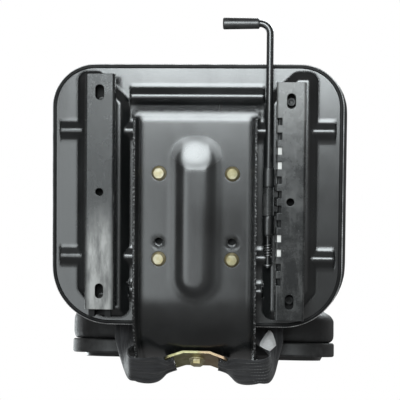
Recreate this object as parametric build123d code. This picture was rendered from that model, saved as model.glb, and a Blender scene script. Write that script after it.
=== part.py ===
# A machine seat: a pressed steel pan and backrest joined by a folded bracket,
# standing on two sliding rails that a sprung lever locks, with a lap belt.
# Millimetres. +Z is up, the occupant faces -Y, and the rails stand on Z = 0.
import os
from math import cos, radians, sin, sqrt

from build123d import *

# Clearances
SLIDE_GAP = 0.3
FIT_GAP = 0.1
SEAT_GAP = 0.3

# Seat pan
PAN_WIDTH = 418.0
PAN_OVER_RAILS = 38.0
PAN_FRONT_RADIUS = 60.0
PAN_REAR_RADIUS = 82.0
PAN_SHEET = 2.0
PANEL_Z = 40.0
PRESS_DEPTH = 12.0
PRESS_WALL = 13.0
PRESS_EDGE_RADIUS = 5.0

# Pressed plateaus that carry the rails
PLATEAU_CREST = 53.0
PLATEAU_FRONT_ROOM = 6.5
PLATEAU_REAR_ROOM = 7.5
PLATEAU_FRONT_CUT = (44.0, 42.0)
PLATEAU_REAR_CUT = (34.0, 40.0)
PLATEAU_CORNER = 16.0

# Pressed pad that carries the back bracket
PAD_ROOM = 8.5
PAD_FRONT_Y = -88.0
PAD_REAR_Y = 142.0
PAD_CORNER = 24.0

# Cross ridges: section, and places along the pan
RIDGE_WIDTH = 36.0
RIDGE_HEIGHT = 7.5
RIDGE_CREST = 5.0
RIDGE_ROUND = 6.0
RIDGE_FOOT = 5.0
RIDGE_FOOT_DROP = 0.8
RIDGE_FOOT_ROUND = 8.0
RIDGE_END_INSET = 9.0
FULL_RIDGES_Y = (-94.0, 90.0)
INNER_RIDGES_Y = (-144.0, 139.0)
INNER_RIDGE_HALF = 97.0

# Edge trim around the pan and the backrest
TRIM_OUT = 2.0
TRIM_IN = 3.0
TRIM_WALL = 2.2
TRIM_EDGE_RADIUS = 1.6

# Seat cushion
CUSHION_OVERHANG = 9.0
CUSHION_TOP_Z = 114.0
CUSHION_TOP_RADIUS = 22.0
CUSHION_BOTTOM_RADIUS = 8.0
CUSHION_CROWN = 4500.0

# Slide rails
RAIL_SPACING = 272.0
RAIL_END = 26.5
RAIL_WIDTH = 42.0
RAIL_HEIGHT = 20.0
RAIL_SHEET = 2.5
RAIL_BEND = 3.5
RAIL_MOUTH = 25.0
RAIL_SEAT_Y = 6.0
PLAIN_RAIL_FORWARD = 11.5
SLOT_WIDTH = 12.0
SLOT_LENGTH = 21.5
SLOT_SPACING = 284.0
CENTRE_HOLE = 11.0

# Notches of the locking rail
NOTCH_COUNT = 12
NOTCH_PITCH = 20.6
NOTCH_LENGTH = 10.3
NOTCH_REACH = 8.5
NOTCH_HEIGHT = 14.0

# Upper rails, hat section
HAT_WIDTH = 20.0
HAT_FLANGE_Z = 6.0
HAT_FLANGE_HALF = 16.0
HAT_HOOK_Z = 14.0

# Nylon glides between the rails
GLIDE_LENGTH = 36.0
GLIDE_OFFSET = 62.0
GLIDE_REACH = 4.5

# Screws and weld nuts
RAIL_SCREW_HEAD = 14.0
RAIL_SCREW_HEAD_HEIGHT = 4.5
RAIL_SCREW = 8.0
RAIL_SCREW_SOCKET = 5.6
BRACKET_BOLT = 10.0
BRACKET_BOLT_FLANGE = 21.8
BRACKET_BOLT_FLATS = 14.6
BRACKET_BOLT_HEAD = 8.0
BRACKET_BOLT_CONE = 2.4
BRACKET_BOLT_NECK = 16.0
NUT_HEIGHT = 6.5
NUT_TO_BOLT = 1.9
NUT_CORNER = 1.5
HOLE_ROOM = 0.5

# Back bracket, a folded sheet with flanges and a pressed bead
BRACKET_ROOM = 8.0
BRACKET_SHEET = 3.0
BRACKET_FLANGE = 20.0
BRACKET_FLARE = 13.0
BRACKET_FRONT_Y = -111.0
BRACKET_BEND_Y = 145.0
BRACKET_BEND_RADIUS = 115.0
BACK_LEAN = 10.0
LEG_LENGTH = 190.0
LIP_OVERHANG = 12.0
LIP_LENGTH = 15.0
LIP_TILT = 12.0
LIP_CORNER = 5.0
BEAD_WIDTH = 66.0
BEAD_CREST = 34.0
BEAD_DEPTH = 8.0
BEAD_ROUND = 20.0
BEAD_FRONT_Y = -48.0
BEAD_RAMP_Y = -80.0
BEAD_RAMP = 40.0
BEAD_REAR_Y = 118.0
BOLT_X = 53.0
BOLT_FRONT_Y = -32.5
BOLT_REAR_Y = 91.5
SPARE_HOLE_Y = 67.0
SPARE_HOLE = 12.5
SPARE_PAN_HOLE_Y = 65.0

# Backrest, drawn upright in its own frame and leaned with the bracket's leg
BACK_WIDTH = 416.0
BACK_HEIGHT = 284.0
BACK_BOTTOM = 20.0
BACK_RADIUS = 62.0
BACK_SHEET = 2.0
BACK_DISH = 22.0
BACK_TRIM_WALL = 6.0
BACK_TRIM_OUT = 3.0
BACK_TRIM_IN = 6.0
BACK_TRIM_EDGE_RADIUS = 3.5
BACK_DRAFT = 13.0
BACK_CUSHION = 60.0
BACK_CUSHION_GROW = 3.0
BACK_CUSHION_RADIUS = 18.0
BACK_CROWN = 3500.0
BACK_BOLT_LOW = 62.0
BACK_BOLT_HIGH = 152.0
BACK_BOLT = 8.0
BACK_BOLT_FLATS = 13.0
BACK_BOLT_HEAD = 5.5

# Locking lever
ROD_FROM_RAIL = 10.0
ROD_Z = 15.0
ROD = 10.0
ROD_TAIL = 7.0
ROD_TAIL_Y = 57.0
ROD_END_Y = 101.0
GRIP_Y = -246.0
ROD_BEND = 14.5
GRIP_FROM_BEND = 0.5
GRIP_LENGTH = 52.0
GRIP = 15.0
GRIP_TIP = 16.6
GRIP_ROUND = 2.0
ROD_TIP_COVER = 6.0
BEARING_LENGTH = 28.4
BEARING_WALL = 2.8
BEARING_PLATE = 3.0
BEARING_NECK = 6.0
LATCH_LENGTH = 40.0
LATCH_PLATE = 3.0
LATCH_BODY_REACH = 9.2
LATCH_FINGER_REACH = 14.6
LATCH_FINGER = 8.2
LATCH_DROOP = 22.0
SPRING_WIRE = 1.6
SPRING_MEAN = 9.4
SPRING_TURNS = 5
SPRING_FRONT_Y = 67.0
SPRING_LENGTH = 18.5
RETAINER_THICK = 2.0
RETAINER = 12.0
RETAINER_FROM_END = 4.0

# Belt anchor, bolted to the bracket's bend
ANCHOR_ANGLE = 60.0
ANCHOR_FLAT = 40.0
ANCHOR_WIDTH = 94.0
ANCHOR_HEIGHT = 56.0
ANCHOR_SHEET = 4.0
ANCHOR_WING = 20.0
ANCHOR_BAR = 7.0
ANCHOR_SLOT = 6.0
ANCHOR_SLOT_ROOM = 2.6
ANCHOR_CORNER = 7.0
ANCHOR_BOLT = 11.0
ANCHOR_BOLT_FLATS = 17.0
ANCHOR_BOLT_HEAD = 7.0
ANCHOR_WASHER = 24.0
ANCHOR_WASHER_THICK = 2.0
ANCHOR_NUT_HEIGHT = 9.0
ANCHOR_BOLT_PROUD = 2.0

# Belt webbing, tongue and buckle, lying on the cushion
BELT_WIDTH = 46.0
BELT_THICK = 2.0
BELT_LOOP_GAP = 0.6
BELT_LOOP_ROUND = 1.0
BELT_FROM_BRACKET = 17.0
BELT_END_Y = 30.0
BELT_FOLD_IN = 6.0
BELT_TURN_OUT = 9.0
BELT_RISE_OUT = 17.0
BELT_BEHIND = 17.5
BELT_OVER = 2.5
BELT_REST = 26.5
BELT_HALFWAY_Y = 100.0
BUCKLE_WIDTH = 52.0
BUCKLE_LENGTH = 72.0
BUCKLE_HEIGHT = 24.0
BUCKLE_ROUND = 5.0
BUTTON_WIDTH = 34.0
BUTTON_LENGTH = 14.0
BUTTON_HEIGHT = 9.6
BUTTON_LEVEL = 15.2
BUTTON_ROUND = 2.0
BUTTON_PROUD = 2.0
BUTTON_TRAVEL = 4.0
TONGUE_WIDTH = 25.0
TONGUE_LENGTH = 46.0
TONGUE_THICK = 3.0
TONGUE_CORNER = 4.0
TONGUE_ROOM = 0.5
TONGUE_LEVEL = 6.5
TONGUE_ENTRY = 30.0
TONGUE_COVER_LENGTH = 22.0
TONGUE_COVER_HEIGHT = 10.0
TONGUE_COVER_WIDTH = 54.0
TONGUE_COVER_ROUND = 3.0

# Levels and places that follow from the sizes above
PLATEAU_Z = PANEL_Z - PRESS_DEPTH
PANEL_TOP = PANEL_Z + PAN_SHEET
RAIL_X = RAIL_SPACING / 2
RAIL_LENGTH = SLOT_SPACING + 2 * RAIL_END
PAN_DEPTH = RAIL_LENGTH + PAN_OVER_RAILS
PLATEAU_FRONT_Y = PLATEAU_FRONT_ROOM - PAN_DEPTH / 2
PLATEAU_REAR_Y = PAN_DEPTH / 2 - PLATEAU_REAR_ROOM
PAD_CREST_WIDTH = 2 * BOLT_X + NUT_TO_BOLT * BRACKET_BOLT + 2 * PAD_ROOM
CUSHION_REAR_Y = PAN_DEPTH / 2 + CUSHION_OVERHANG
TRIM_TOP = PANEL_TOP + TRIM_WALL
CUSHION_Z = TRIM_TOP + SEAT_GAP
WEB_Z = PLATEAU_Z - BRACKET_SHEET
BEND_CENTRE = (BRACKET_BEND_Y, WEB_Z + BRACKET_BEND_RADIUS)
BEND_TURN = 90.0 - BACK_LEAN
ROD_X = RAIL_X - RAIL_WIDTH / 2 - ROD_FROM_RAIL
GRIP_INNER_X = ROD_X - ROD_BEND - GRIP_FROM_BEND
GRIP_OUTER_X = GRIP_INNER_X - GRIP_LENGTH
BEARING_OUTSIDE = ROD / 2 + SLIDE_GAP + BEARING_WALL
FLANGE_X = ROD_X - BEARING_OUTSIDE - BRACKET_ROOM
FLANGE_RUN = BRACKET_FLANGE * sin(radians(BRACKET_FLARE))
BRACKET_WEB = 2 * (FLANGE_X - FLANGE_RUN - BRACKET_SHEET)
BELT_X = FLANGE_X + BELT_FROM_BRACKET
BELT_REST_Y = CUSHION_REAR_Y - BELT_REST
BRACKET_BOLTS = [(x, y) for y in (BOLT_FRONT_Y, BOLT_REAR_Y) for x in (-BOLT_X, BOLT_X)]
RAIL_SCREWS = [
    (side * RAIL_X, RAIL_SEAT_Y + end * SLOT_SPACING / 2)
    for side in (-1, 1)
    for end in (-1, 1)
]


def cushion_level(x, y):
    """The height of the cushion's crowned top."""
    return CUSHION_TOP_Z - CUSHION_CROWN + sqrt(CUSHION_CROWN**2 - x**2 - y**2)


def belt_level(y):
    """The height at which the belt lies on the cushion, clear of it at its inner edge."""
    return cushion_level(BELT_X - BELT_WIDTH / 2, y) + SEAT_GAP + BELT_THICK / 2


def buckle_level():
    """The underside of the buckle and of the tongue on the cushion."""
    return cushion_level(BELT_X - BUCKLE_WIDTH / 2, 0) + SEAT_GAP


# Belt route after its loop: centre, travel and width directions of each section
BELT_ROUTE = (
    ((66, 260, 66), (0.85, 0.1, -0.5), (0, 0.6, 0.8)),
    ((FLANGE_X - BELT_FOLD_IN, 263, 52), (0.95, 0, -0.25), (0, 0.72, 0.69)),
    ((FLANGE_X + BELT_TURN_OUT, 260, 56), (0.7, -0.2, 0.65), (0, 0.88, 0.47)),
    ((FLANGE_X + BELT_RISE_OUT, 249, 74), (0.1, -0.5, 0.85), (0.2, 0.85, 0.48)),
    ((FLANGE_X + BELT_RISE_OUT, 233, 93), (0, -0.65, 0.75), (0.75, 0.5, 0.43)),
    ((BELT_X, CUSHION_REAR_Y + BELT_BEHIND, 106), (0, -0.8, 0.6), (1, 0, 0)),
    ((BELT_X, CUSHION_REAR_Y - BELT_OVER, 113), (0, -1, 0), (1, 0, 0)),
    ((BELT_X, BELT_REST_Y, belt_level(BELT_REST_Y)), (0, -1, 0), (1, 0, 0)),
    ((BELT_X, BELT_HALFWAY_Y, belt_level(BELT_HALFWAY_Y)), (0, -1, 0), (1, 0, 0)),
    ((BELT_X, BELT_END_Y, belt_level(BELT_END_Y)), (0, -1, 0), (1, 0, 0)),
)


def rounded(width, depth, front_radius, rear_radius):
    """A rectangle about the origin with its own radius at front and at rear."""
    face = Rectangle(width, depth)
    face = fillet(face.vertices().group_by(Axis.Y)[0], front_radius)
    return fillet(face.vertices().sort_by(Axis.Y)[-2:], rear_radius)


def pan_outline(grow=0.0):
    """The pan's edge in plan, grown by a distance."""
    return rounded(
        PAN_WIDTH + 2 * grow,
        PAN_DEPTH + 2 * grow,
        PAN_FRONT_RADIUS + grow,
        PAN_REAR_RADIUS + grow,
    )


def slab(face, low, high):
    """A plan outline made into a plate between two levels."""
    return extrude(Pos(0, 0, low) * face, high - low)


def rod_between(start, end, diameter):
    """A round bar from one point to another."""
    start, end = Vector(*start), Vector(*end)
    plane = Plane(origin=start, z_dir=end - start)
    return extrude(plane * Circle(diameter / 2), (end - start).length)


def hexagon(flats):
    """A hexagon by its width across flats."""
    return RegularPolygon(flats / sqrt(3), 6)


def pressed(face):
    """A flat-topped form pressed down out of the panel, with sloped walls."""
    crest = offset(face, -PRESS_WALL)
    form = loft([Pos(0, 0, PANEL_Z) * face, Pos(0, 0, PLATEAU_Z) * crest])
    return fillet(form.edges().group_by(Axis.Z)[0], PRESS_EDGE_RADIUS)


def plateau(side):
    """The pressed form above one rail, narrowed at its inner front corner."""
    inner = RAIL_X - PLATEAU_CREST / 2 - PRESS_WALL
    outer = RAIL_X + PLATEAU_CREST / 2 + PRESS_WALL
    front_x, front_y = PLATEAU_FRONT_CUT
    rear_x, rear_y = PLATEAU_REAR_CUT
    corners = [
        (inner, PLATEAU_REAR_Y),
        (inner, PLATEAU_FRONT_Y + front_y),
        (inner + front_x, PLATEAU_FRONT_Y),
        (outer, PLATEAU_FRONT_Y),
        (outer, PLATEAU_REAR_Y - rear_y),
        (outer - rear_x, PLATEAU_REAR_Y),
    ]
    face = make_face(Polyline([(side * x, y) for x, y in corners], close=True))
    return pressed(fillet(face.vertices(), PLATEAU_CORNER))


def pad():
    """The pressed form that the back bracket is bolted against."""
    width = PAD_CREST_WIDTH + 2 * PRESS_WALL
    depth = PAD_REAR_Y - PAD_FRONT_Y + 2 * PRESS_WALL
    middle = (PAD_REAR_Y + PAD_FRONT_Y) / 2
    return pressed(Pos(0, middle) * RectangleRounded(width, depth, PAD_CORNER))


def ridge(y, half_length):
    """A stiffening ridge across the pan: two slopes, soft feet and a rounded crest."""
    foot, crest = RIDGE_WIDTH / 2, RIDGE_CREST / 2
    low, ankle = PANEL_Z - RIDGE_HEIGHT, PANEL_Z - RIDGE_FOOT_DROP
    side = [(foot, PANEL_Z), (foot - RIDGE_FOOT, ankle), (crest, low)]
    section = make_face(Polyline(*side, *[(-x, z) for x, z in reversed(side)], close=True))
    section = fillet(section.vertices().group_by(Axis.Y)[0], RIDGE_ROUND)
    ankles = section.vertices().filter_by_position(Axis.Y, ankle - FIT_GAP, ankle + FIT_GAP)
    section = fillet(ankles, RIDGE_FOOT_ROUND)
    return extrude(Plane.YZ.offset(-half_length) * Pos(y, 0) * section, 2 * half_length)


def seat_pan():
    forms = plateau(-1) + plateau(1) + pad()
    for y in FULL_RIDGES_Y:
        forms += ridge(y, PAN_WIDTH / 2 - RIDGE_END_INSET)
    for y in INNER_RIDGES_Y:
        forms += ridge(y, INNER_RIDGE_HALF)
    pan = slab(pan_outline(), PANEL_Z, PANEL_TOP) + forms
    pan -= Pos(0, 0, PAN_SHEET) * forms
    for x, y in BRACKET_BOLTS:
        pan -= rod_between((x, y, 0), (x, y, PANEL_Z), BRACKET_BOLT + HOLE_ROOM)
    for x, y in RAIL_SCREWS:
        pan -= rod_between((x, y, 0), (x, y, PANEL_Z), RAIL_SCREW + HOLE_ROOM)
    for x in (-BOLT_X, BOLT_X):
        spare = (x, SPARE_PAN_HOLE_Y, 0), (x, SPARE_PAN_HOLE_Y, PANEL_Z)
        pan -= rod_between(*spare, BRACKET_BOLT + HOLE_ROOM)
    return pan


def edge_trim(outline, levels, out, inside, wall, edge_radius):
    """A U-shaped strip pressed over a sheet's edge between two levels."""
    low, high = levels
    ring = slab(outline(out) - outline(-inside), low - wall, high + wall)
    ring = fillet(ring.edges().group_by(Axis.Z)[0], edge_radius)
    ring = fillet(ring.edges().group_by(Axis.Z)[-1], edge_radius)
    return ring - slab(outline(FIT_GAP), low - FIT_GAP, high + FIT_GAP)


def pan_edge_trim():
    size = TRIM_OUT, TRIM_IN, TRIM_WALL, TRIM_EDGE_RADIUS
    return edge_trim(pan_outline, (PANEL_Z, PANEL_TOP), *size)


def crowned(block, top, radius):
    """A block whose flat top is swollen to a large sphere."""
    return block & Pos(block.center().X, block.center().Y, top - radius) * Sphere(radius)


def seat_cushion():
    cushion = slab(pan_outline(CUSHION_OVERHANG), CUSHION_Z, CUSHION_TOP_Z)
    cushion = fillet(cushion.edges().group_by(Axis.Z)[0], CUSHION_BOTTOM_RADIUS)
    cushion = crowned(cushion, CUSHION_TOP_Z, CUSHION_CROWN)
    return fillet(cushion.faces().sort_by(Axis.Z)[-1].edges(), CUSHION_TOP_RADIUS)


def along_y(face, length):
    """A section drawn in X and Z, drawn out along Y about the middle."""
    return Pos(0, length / 2, 0) * extrude(Plane.XZ * face, length)


def lower_rail():
    """The C section that bolts to the machine, with two slots and a hole."""
    section = Pos(0, RAIL_HEIGHT / 2) * RectangleRounded(RAIL_WIDTH, RAIL_HEIGHT, RAIL_BEND)
    bore_width = RAIL_WIDTH - 2 * RAIL_SHEET
    bore_height = RAIL_HEIGHT - 2 * RAIL_SHEET
    bore_bend = RAIL_BEND - RAIL_SHEET
    section -= Pos(0, RAIL_HEIGHT / 2) * RectangleRounded(bore_width, bore_height, bore_bend)
    section -= Pos(0, RAIL_HEIGHT) * Rectangle(RAIL_MOUTH, 4 * RAIL_SHEET)
    rail = along_y(section, RAIL_LENGTH)
    slot = Rot(0, 0, 90) * SlotOverall(SLOT_LENGTH, SLOT_WIDTH)
    for end in (-1, 1):
        place = Pos(0, end * SLOT_SPACING / 2)
        rail -= slab(place * slot, -RAIL_SHEET, 2 * RAIL_SHEET)
    return rail - slab(Circle(CENTRE_HOLE / 2), -RAIL_SHEET, 2 * RAIL_SHEET)


def notched_rail():
    """The lower rail with a row of notches through its inner bottom corner."""
    rail = lower_rail()
    edge = -RAIL_WIDTH / 2 + NOTCH_REACH
    notch = Box(NOTCH_REACH, NOTCH_LENGTH, NOTCH_HEIGHT, align=(Align.MAX, Align.CENTER, Align.MIN))
    for k in range(NOTCH_COUNT):
        y = (k - (NOTCH_COUNT - 1) / 2) * NOTCH_PITCH
        rail -= Pos(edge, y, 0) * notch
    return rail


def upper_rail():
    """The hat section that runs inside a lower rail and is screwed to the pan."""
    half, sheet = HAT_WIDTH / 2, RAIL_SHEET
    right = [
        (half, PLATEAU_Z),
        (half, HAT_FLANGE_Z + sheet),
        (HAT_FLANGE_HALF - sheet, HAT_FLANGE_Z + sheet),
        (HAT_FLANGE_HALF - sheet, HAT_HOOK_Z),
        (HAT_FLANGE_HALF, HAT_HOOK_Z),
        (HAT_FLANGE_HALF, HAT_FLANGE_Z),
        (half - sheet, HAT_FLANGE_Z),
        (half - sheet, PLATEAU_Z - sheet),
    ]
    left = [(-x, z) for x, z in reversed(right)]
    rail = along_y(make_face(Polyline(right + left, close=True)), RAIL_LENGTH)
    for end in (-1, 1):
        hole = Pos(0, end * SLOT_SPACING / 2) * Circle((RAIL_SCREW + HOLE_ROOM) / 2)
        rail -= slab(hole, PLATEAU_Z - 2 * sheet, PLATEAU_Z + sheet)
    return rail


def glides():
    """Four nylon glides clipped round the hooked edges of one upper rail."""
    outer = RAIL_WIDTH / 2 - RAIL_SHEET - SLIDE_GAP
    low = RAIL_SHEET + SLIDE_GAP
    high = RAIL_HEIGHT - RAIL_SHEET - SLIDE_GAP
    inner = HAT_FLANGE_HALF - GLIDE_REACH
    block = Pos((outer + inner) / 2, (low + high) / 2) * Rectangle(outer - inner, high - low)
    slot_low = HAT_FLANGE_Z - FIT_GAP
    slot_high = HAT_HOOK_Z + FIT_GAP
    slot_edge = HAT_FLANGE_HALF + FIT_GAP
    block -= Pos(slot_edge - GLIDE_REACH, (slot_low + slot_high) / 2) * Rectangle(
        2 * GLIDE_REACH, slot_high - slot_low
    )
    glide = along_y(block, GLIDE_LENGTH)
    row = []
    for end in (-1, 1):
        row.append(Pos(0, end * GLIDE_OFFSET, 0) * glide)
        row.append(Pos(0, end * GLIDE_OFFSET, 0) * mirror(glide, Plane.YZ))
    return row


def rail_screw():
    """A low-headed screw with its head under the upper rail's top."""
    head_top = PLATEAU_Z - RAIL_SHEET
    head = slab(Circle(RAIL_SCREW_HEAD / 2), head_top - RAIL_SCREW_HEAD_HEIGHT, head_top)
    head = chamfer(head.edges().group_by(Axis.Z)[0], RAIL_SCREW_HEAD_HEIGHT / 4)
    head -= slab(hexagon(RAIL_SCREW_SOCKET), 0, head_top - RAIL_SCREW_HEAD_HEIGHT / 2)
    return head + slab(Circle(RAIL_SCREW / 2), head_top, PLATEAU_Z + PAN_SHEET + NUT_HEIGHT)


def weld_nut(bolt):
    """A square weld nut on the upper side of a pressed form."""
    low = PLATEAU_Z + PAN_SHEET
    side = NUT_TO_BOLT * bolt
    face = RectangleRounded(side, side, NUT_CORNER) - Circle(bolt / 2 + FIT_GAP)
    return slab(face, low, low + NUT_HEIGHT)


def flange_bolt():
    """A hexagon bolt with a conical flange, head down, under the bracket."""
    flange_low = WEB_Z - BRACKET_BOLT_CONE
    flange = loft(
        [
            Pos(0, 0, WEB_Z) * Circle(BRACKET_BOLT_FLANGE / 2),
            Pos(0, 0, flange_low) * Circle(BRACKET_BOLT_NECK / 2),
        ]
    )
    head = slab(hexagon(BRACKET_BOLT_FLATS), WEB_Z - BRACKET_BOLT_HEAD, WEB_Z)
    cone = Cone(
        BRACKET_BOLT_FLATS / 2,
        BRACKET_BOLT_FLATS,
        BRACKET_BOLT_HEAD,
        align=(Align.CENTER, Align.CENTER, Align.MIN),
    )
    cone = Pos(0, 0, WEB_Z - BRACKET_BOLT_HEAD) * cone
    shank = slab(Circle(BRACKET_BOLT / 2), WEB_Z, PLATEAU_Z + PAN_SHEET + NUT_HEIGHT)
    return flange + (head & cone) + shank


def bend_point(angle, radius):
    """A point on the bracket's bend, as Y and Z."""
    turn = radians(angle)
    return BEND_CENTRE[0] + radius * sin(turn), BEND_CENTRE[1] - radius * cos(turn)


def back_bracket():
    half, sheet = BRACKET_WEB / 2, BRACKET_SHEET
    flare = radians(BRACKET_FLARE)
    run, drop = FLANGE_RUN, BRACKET_FLANGE * cos(flare)
    across, up = sheet * cos(flare), sheet * sin(flare)
    right = [
        (half + sheet, sheet),
        (half + sheet + run, -drop),
        (half + sheet + run - across, -drop - up),
        (half, 0),
    ]
    left = [(-x, z) for x, z in reversed(right)]
    section = make_face(Polyline(right + left, close=True))
    section = Pos(0, BRACKET_BEND_Y, WEB_Z) * (Plane.XZ * section)
    bend_axis = Axis((0, *BEND_CENTRE), (1, 0, 0))
    bracket = extrude(section, BRACKET_BEND_Y - BRACKET_FRONT_Y, dir=(0, -1, 0))
    bracket += revolve(section, bend_axis, BEND_TURN)
    lean = radians(BACK_LEAN)
    bracket += extrude(section.rotate(bend_axis, BEND_TURN), LEG_LENGTH, dir=(0, sin(lean), cos(lean)))
    tilt = radians(LIP_TILT)
    lip = Plane(
        origin=(0, BRACKET_FRONT_Y, WEB_Z),
        x_dir=(1, 0, 0),
        z_dir=(0, sin(tilt), cos(tilt)),
    )
    tab = fillet(Rectangle(BRACKET_WEB + 2 * LIP_OVERHANG, 2 * LIP_LENGTH).vertices(), LIP_CORNER)
    tab = extrude(lip * tab, sheet)
    bracket += split(tab, Plane.XZ.offset(-BRACKET_FRONT_Y), keep=Keep.TOP)
    bead = bead_form()
    bracket += bead
    foot = bead_foot(bracket)
    bracket = fillet(foot, BEAD_ROUND) - Pos(0, 0, sheet) * bead
    for x, y in BRACKET_BOLTS:
        bracket -= rod_between((x, y, 0), (x, y, PLATEAU_Z + 1), BRACKET_BOLT + HOLE_ROOM)
    for side in (-1, 1):
        x = side * BOLT_X
        bracket -= rod_between((x, SPARE_HOLE_Y, 0), (x, SPARE_HOLE_Y, PLATEAU_Z + 1), SPARE_HOLE)
    for place in back_bolt_places():
        bracket -= place * Cylinder((BACK_BOLT + HOLE_ROOM) / 2, 6 * sheet)
    return bracket - anchor_plane() * Cylinder((ANCHOR_BOLT + HOLE_ROOM) / 2, 8 * sheet)


def bead_form():
    """A long round-ended bulge below the web, flat along its crest."""
    base, crest = BEAD_WIDTH / 2, BEAD_CREST / 2
    top = WEB_Z + BRACKET_SHEET / 2
    low = WEB_Z - BEAD_DEPTH
    slope = (base - crest) / BEAD_DEPTH
    wide = base + slope * BRACKET_SHEET / 2
    half = make_face(Polyline((0, top), (wide, top), (crest, low), (0, low), close=True))
    half = fillet(half.vertices().sort_by(Axis.Y)[:2].sort_by(Axis.X)[-1], BEAD_ROUND)
    middle = (BEAD_FRONT_Y + BEAD_REAR_Y) / 2
    section = half + mirror(half, Plane.YZ)
    form = Pos(0, middle, 0) * along_y(section, BEAD_REAR_Y - BEAD_FRONT_Y)
    dome = revolve(Plane.XZ * half, Axis.Z)
    for y in (BEAD_FRONT_Y, BEAD_REAR_Y):
        form += Pos(0, y, 0) * dome
    return form - bead_ramp()


def bead_ramp():
    """What is cut off below the long ramp that leads up to the bead's crest."""
    front, end = BEAD_RAMP_Y, BEAD_RAMP_Y + BEAD_RAMP
    low = WEB_Z - 2 * BEAD_DEPTH
    ramp = [(front, WEB_Z), (end, WEB_Z - BEAD_DEPTH), (end, low), (front - BEAD_WIDTH, low)]
    section = make_face(Polyline(*ramp, (front - BEAD_WIDTH, WEB_Z), close=True))
    return extrude(Plane.YZ * section, BEAD_WIDTH, both=True)


def bead_foot(bracket):
    """The edges where the bead leaves the web's underside."""
    foot = bracket.edges().filter_by_position(Axis.Z, WEB_Z - FIT_GAP, WEB_Z + FIT_GAP)
    reach = BEAD_WIDTH / 2 + FIT_GAP
    foot = foot.filter_by_position(Axis.X, -reach, reach)
    return foot.filter_by_position(Axis.Y, BEAD_FRONT_Y - reach, BEAD_REAR_Y + reach)


def back_frame():
    """The backrest's own frame: X across, Y rearward, Z up along the leg."""
    y, z = bend_point(BEND_TURN, BRACKET_BEND_RADIUS - BRACKET_SHEET)
    return Location((0, y, z), (-BACK_LEAN, 0, 0))


def back_outline(grow=0.0):
    """The backrest's rim in its own frame, drawn flat, bottom edge towards -Y."""
    face = RectangleRounded(BACK_WIDTH + 2 * grow, BACK_HEIGHT + 2 * grow, BACK_RADIUS + grow)
    return Pos(0, BACK_BOTTOM + BACK_HEIGHT / 2) * face


def stood_up(shape):
    """A backrest piece drawn flat, rear face down, set upright in place."""
    return back_frame() * Rot(90, 0, 0) * shape


def back_shell():
    """A dished sheet with drafted walls and a flat rim, drawn flat."""
    top = Pos(0, 0, BACK_DISH)
    outer = loft([back_outline(-BACK_DRAFT - BACK_TRIM_IN), top * back_outline(-BACK_TRIM_IN)])
    rim = slab(back_outline(), BACK_DISH - BACK_SHEET, BACK_DISH)
    shell = outer + rim
    shell -= Pos(0, 0, BACK_SHEET) * loft(
        [
            back_outline(-BACK_DRAFT - BACK_TRIM_IN - BACK_SHEET),
            top * back_outline(-BACK_TRIM_IN - BACK_SHEET),
        ]
    )
    shell = stood_up(shell)
    for place in back_bolt_places():
        shell -= place * Cylinder((BACK_BOLT + HOLE_ROOM) / 2, 6 * BACK_SHEET)
    return shell


def back_edge_trim():
    """The thick strip round the backrest's rim."""
    low = BACK_DISH - BACK_SHEET
    size = BACK_TRIM_OUT, BACK_TRIM_IN, BACK_TRIM_WALL, BACK_TRIM_EDGE_RADIUS
    return stood_up(edge_trim(back_outline, (low, BACK_DISH), *size))


def back_cushion():
    low = BACK_DISH + BACK_TRIM_WALL + SEAT_GAP
    block = slab(back_outline(BACK_CUSHION_GROW), low, low + BACK_CUSHION)
    block = fillet(block.edges().group_by(Axis.Z)[0], BACK_CUSHION_RADIUS / 3)
    block = crowned(block, low + BACK_CUSHION, BACK_CROWN)
    return stood_up(fillet(block.faces().sort_by(Axis.Z)[-1].edges(), BACK_CUSHION_RADIUS))


def back_bolt_places():
    """Frames on the leg's inner face, each with its Z pointing rearward."""
    return [
        back_frame() * Location((x, 0, up)) * Rot(-90, 0, 0)
        for x in (-BOLT_X, BOLT_X)
        for up in (BACK_BOLT_LOW, BACK_BOLT_HIGH)
    ]


def back_bolt():
    """A hexagon bolt whose head is on the rear of the leg."""
    head = slab(hexagon(BACK_BOLT_FLATS), BRACKET_SHEET, BRACKET_SHEET + BACK_BOLT_HEAD)
    return head + slab(Circle(BACK_BOLT / 2), -BACK_SHEET - NUT_HEIGHT, BRACKET_SHEET)


def back_nut():
    """A square weld nut inside the backrest's shell."""
    side = NUT_TO_BOLT * BACK_BOLT
    face = RectangleRounded(side, side, NUT_CORNER) - Circle(BACK_BOLT / 2 + FIT_GAP)
    return slab(face, -BACK_SHEET - NUT_HEIGHT, -BACK_SHEET)


def lever_rod():
    """The locking rod: a thin tail, a straight run and a bent arm for the grip."""
    straight = Line((ROD_X, ROD_TAIL_Y, ROD_Z), (ROD_X, GRIP_Y + ROD_BEND, ROD_Z))
    bend = TangentArc(straight @ 1, (ROD_X - ROD_BEND, GRIP_Y, ROD_Z), tangent=straight % 1)
    arm = Line(bend @ 1, (GRIP_OUTER_X + ROD_TIP_COVER, GRIP_Y, ROD_Z))
    start = Plane(origin=straight @ 0, z_dir=straight % 0)
    rod = sweep(start * Circle(ROD / 2), path=straight + bend + arm)
    tail = rod_between((ROD_X, ROD_TAIL_Y, ROD_Z), (ROD_X, ROD_END_Y, ROD_Z), ROD_TAIL)
    return rod + tail


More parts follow.
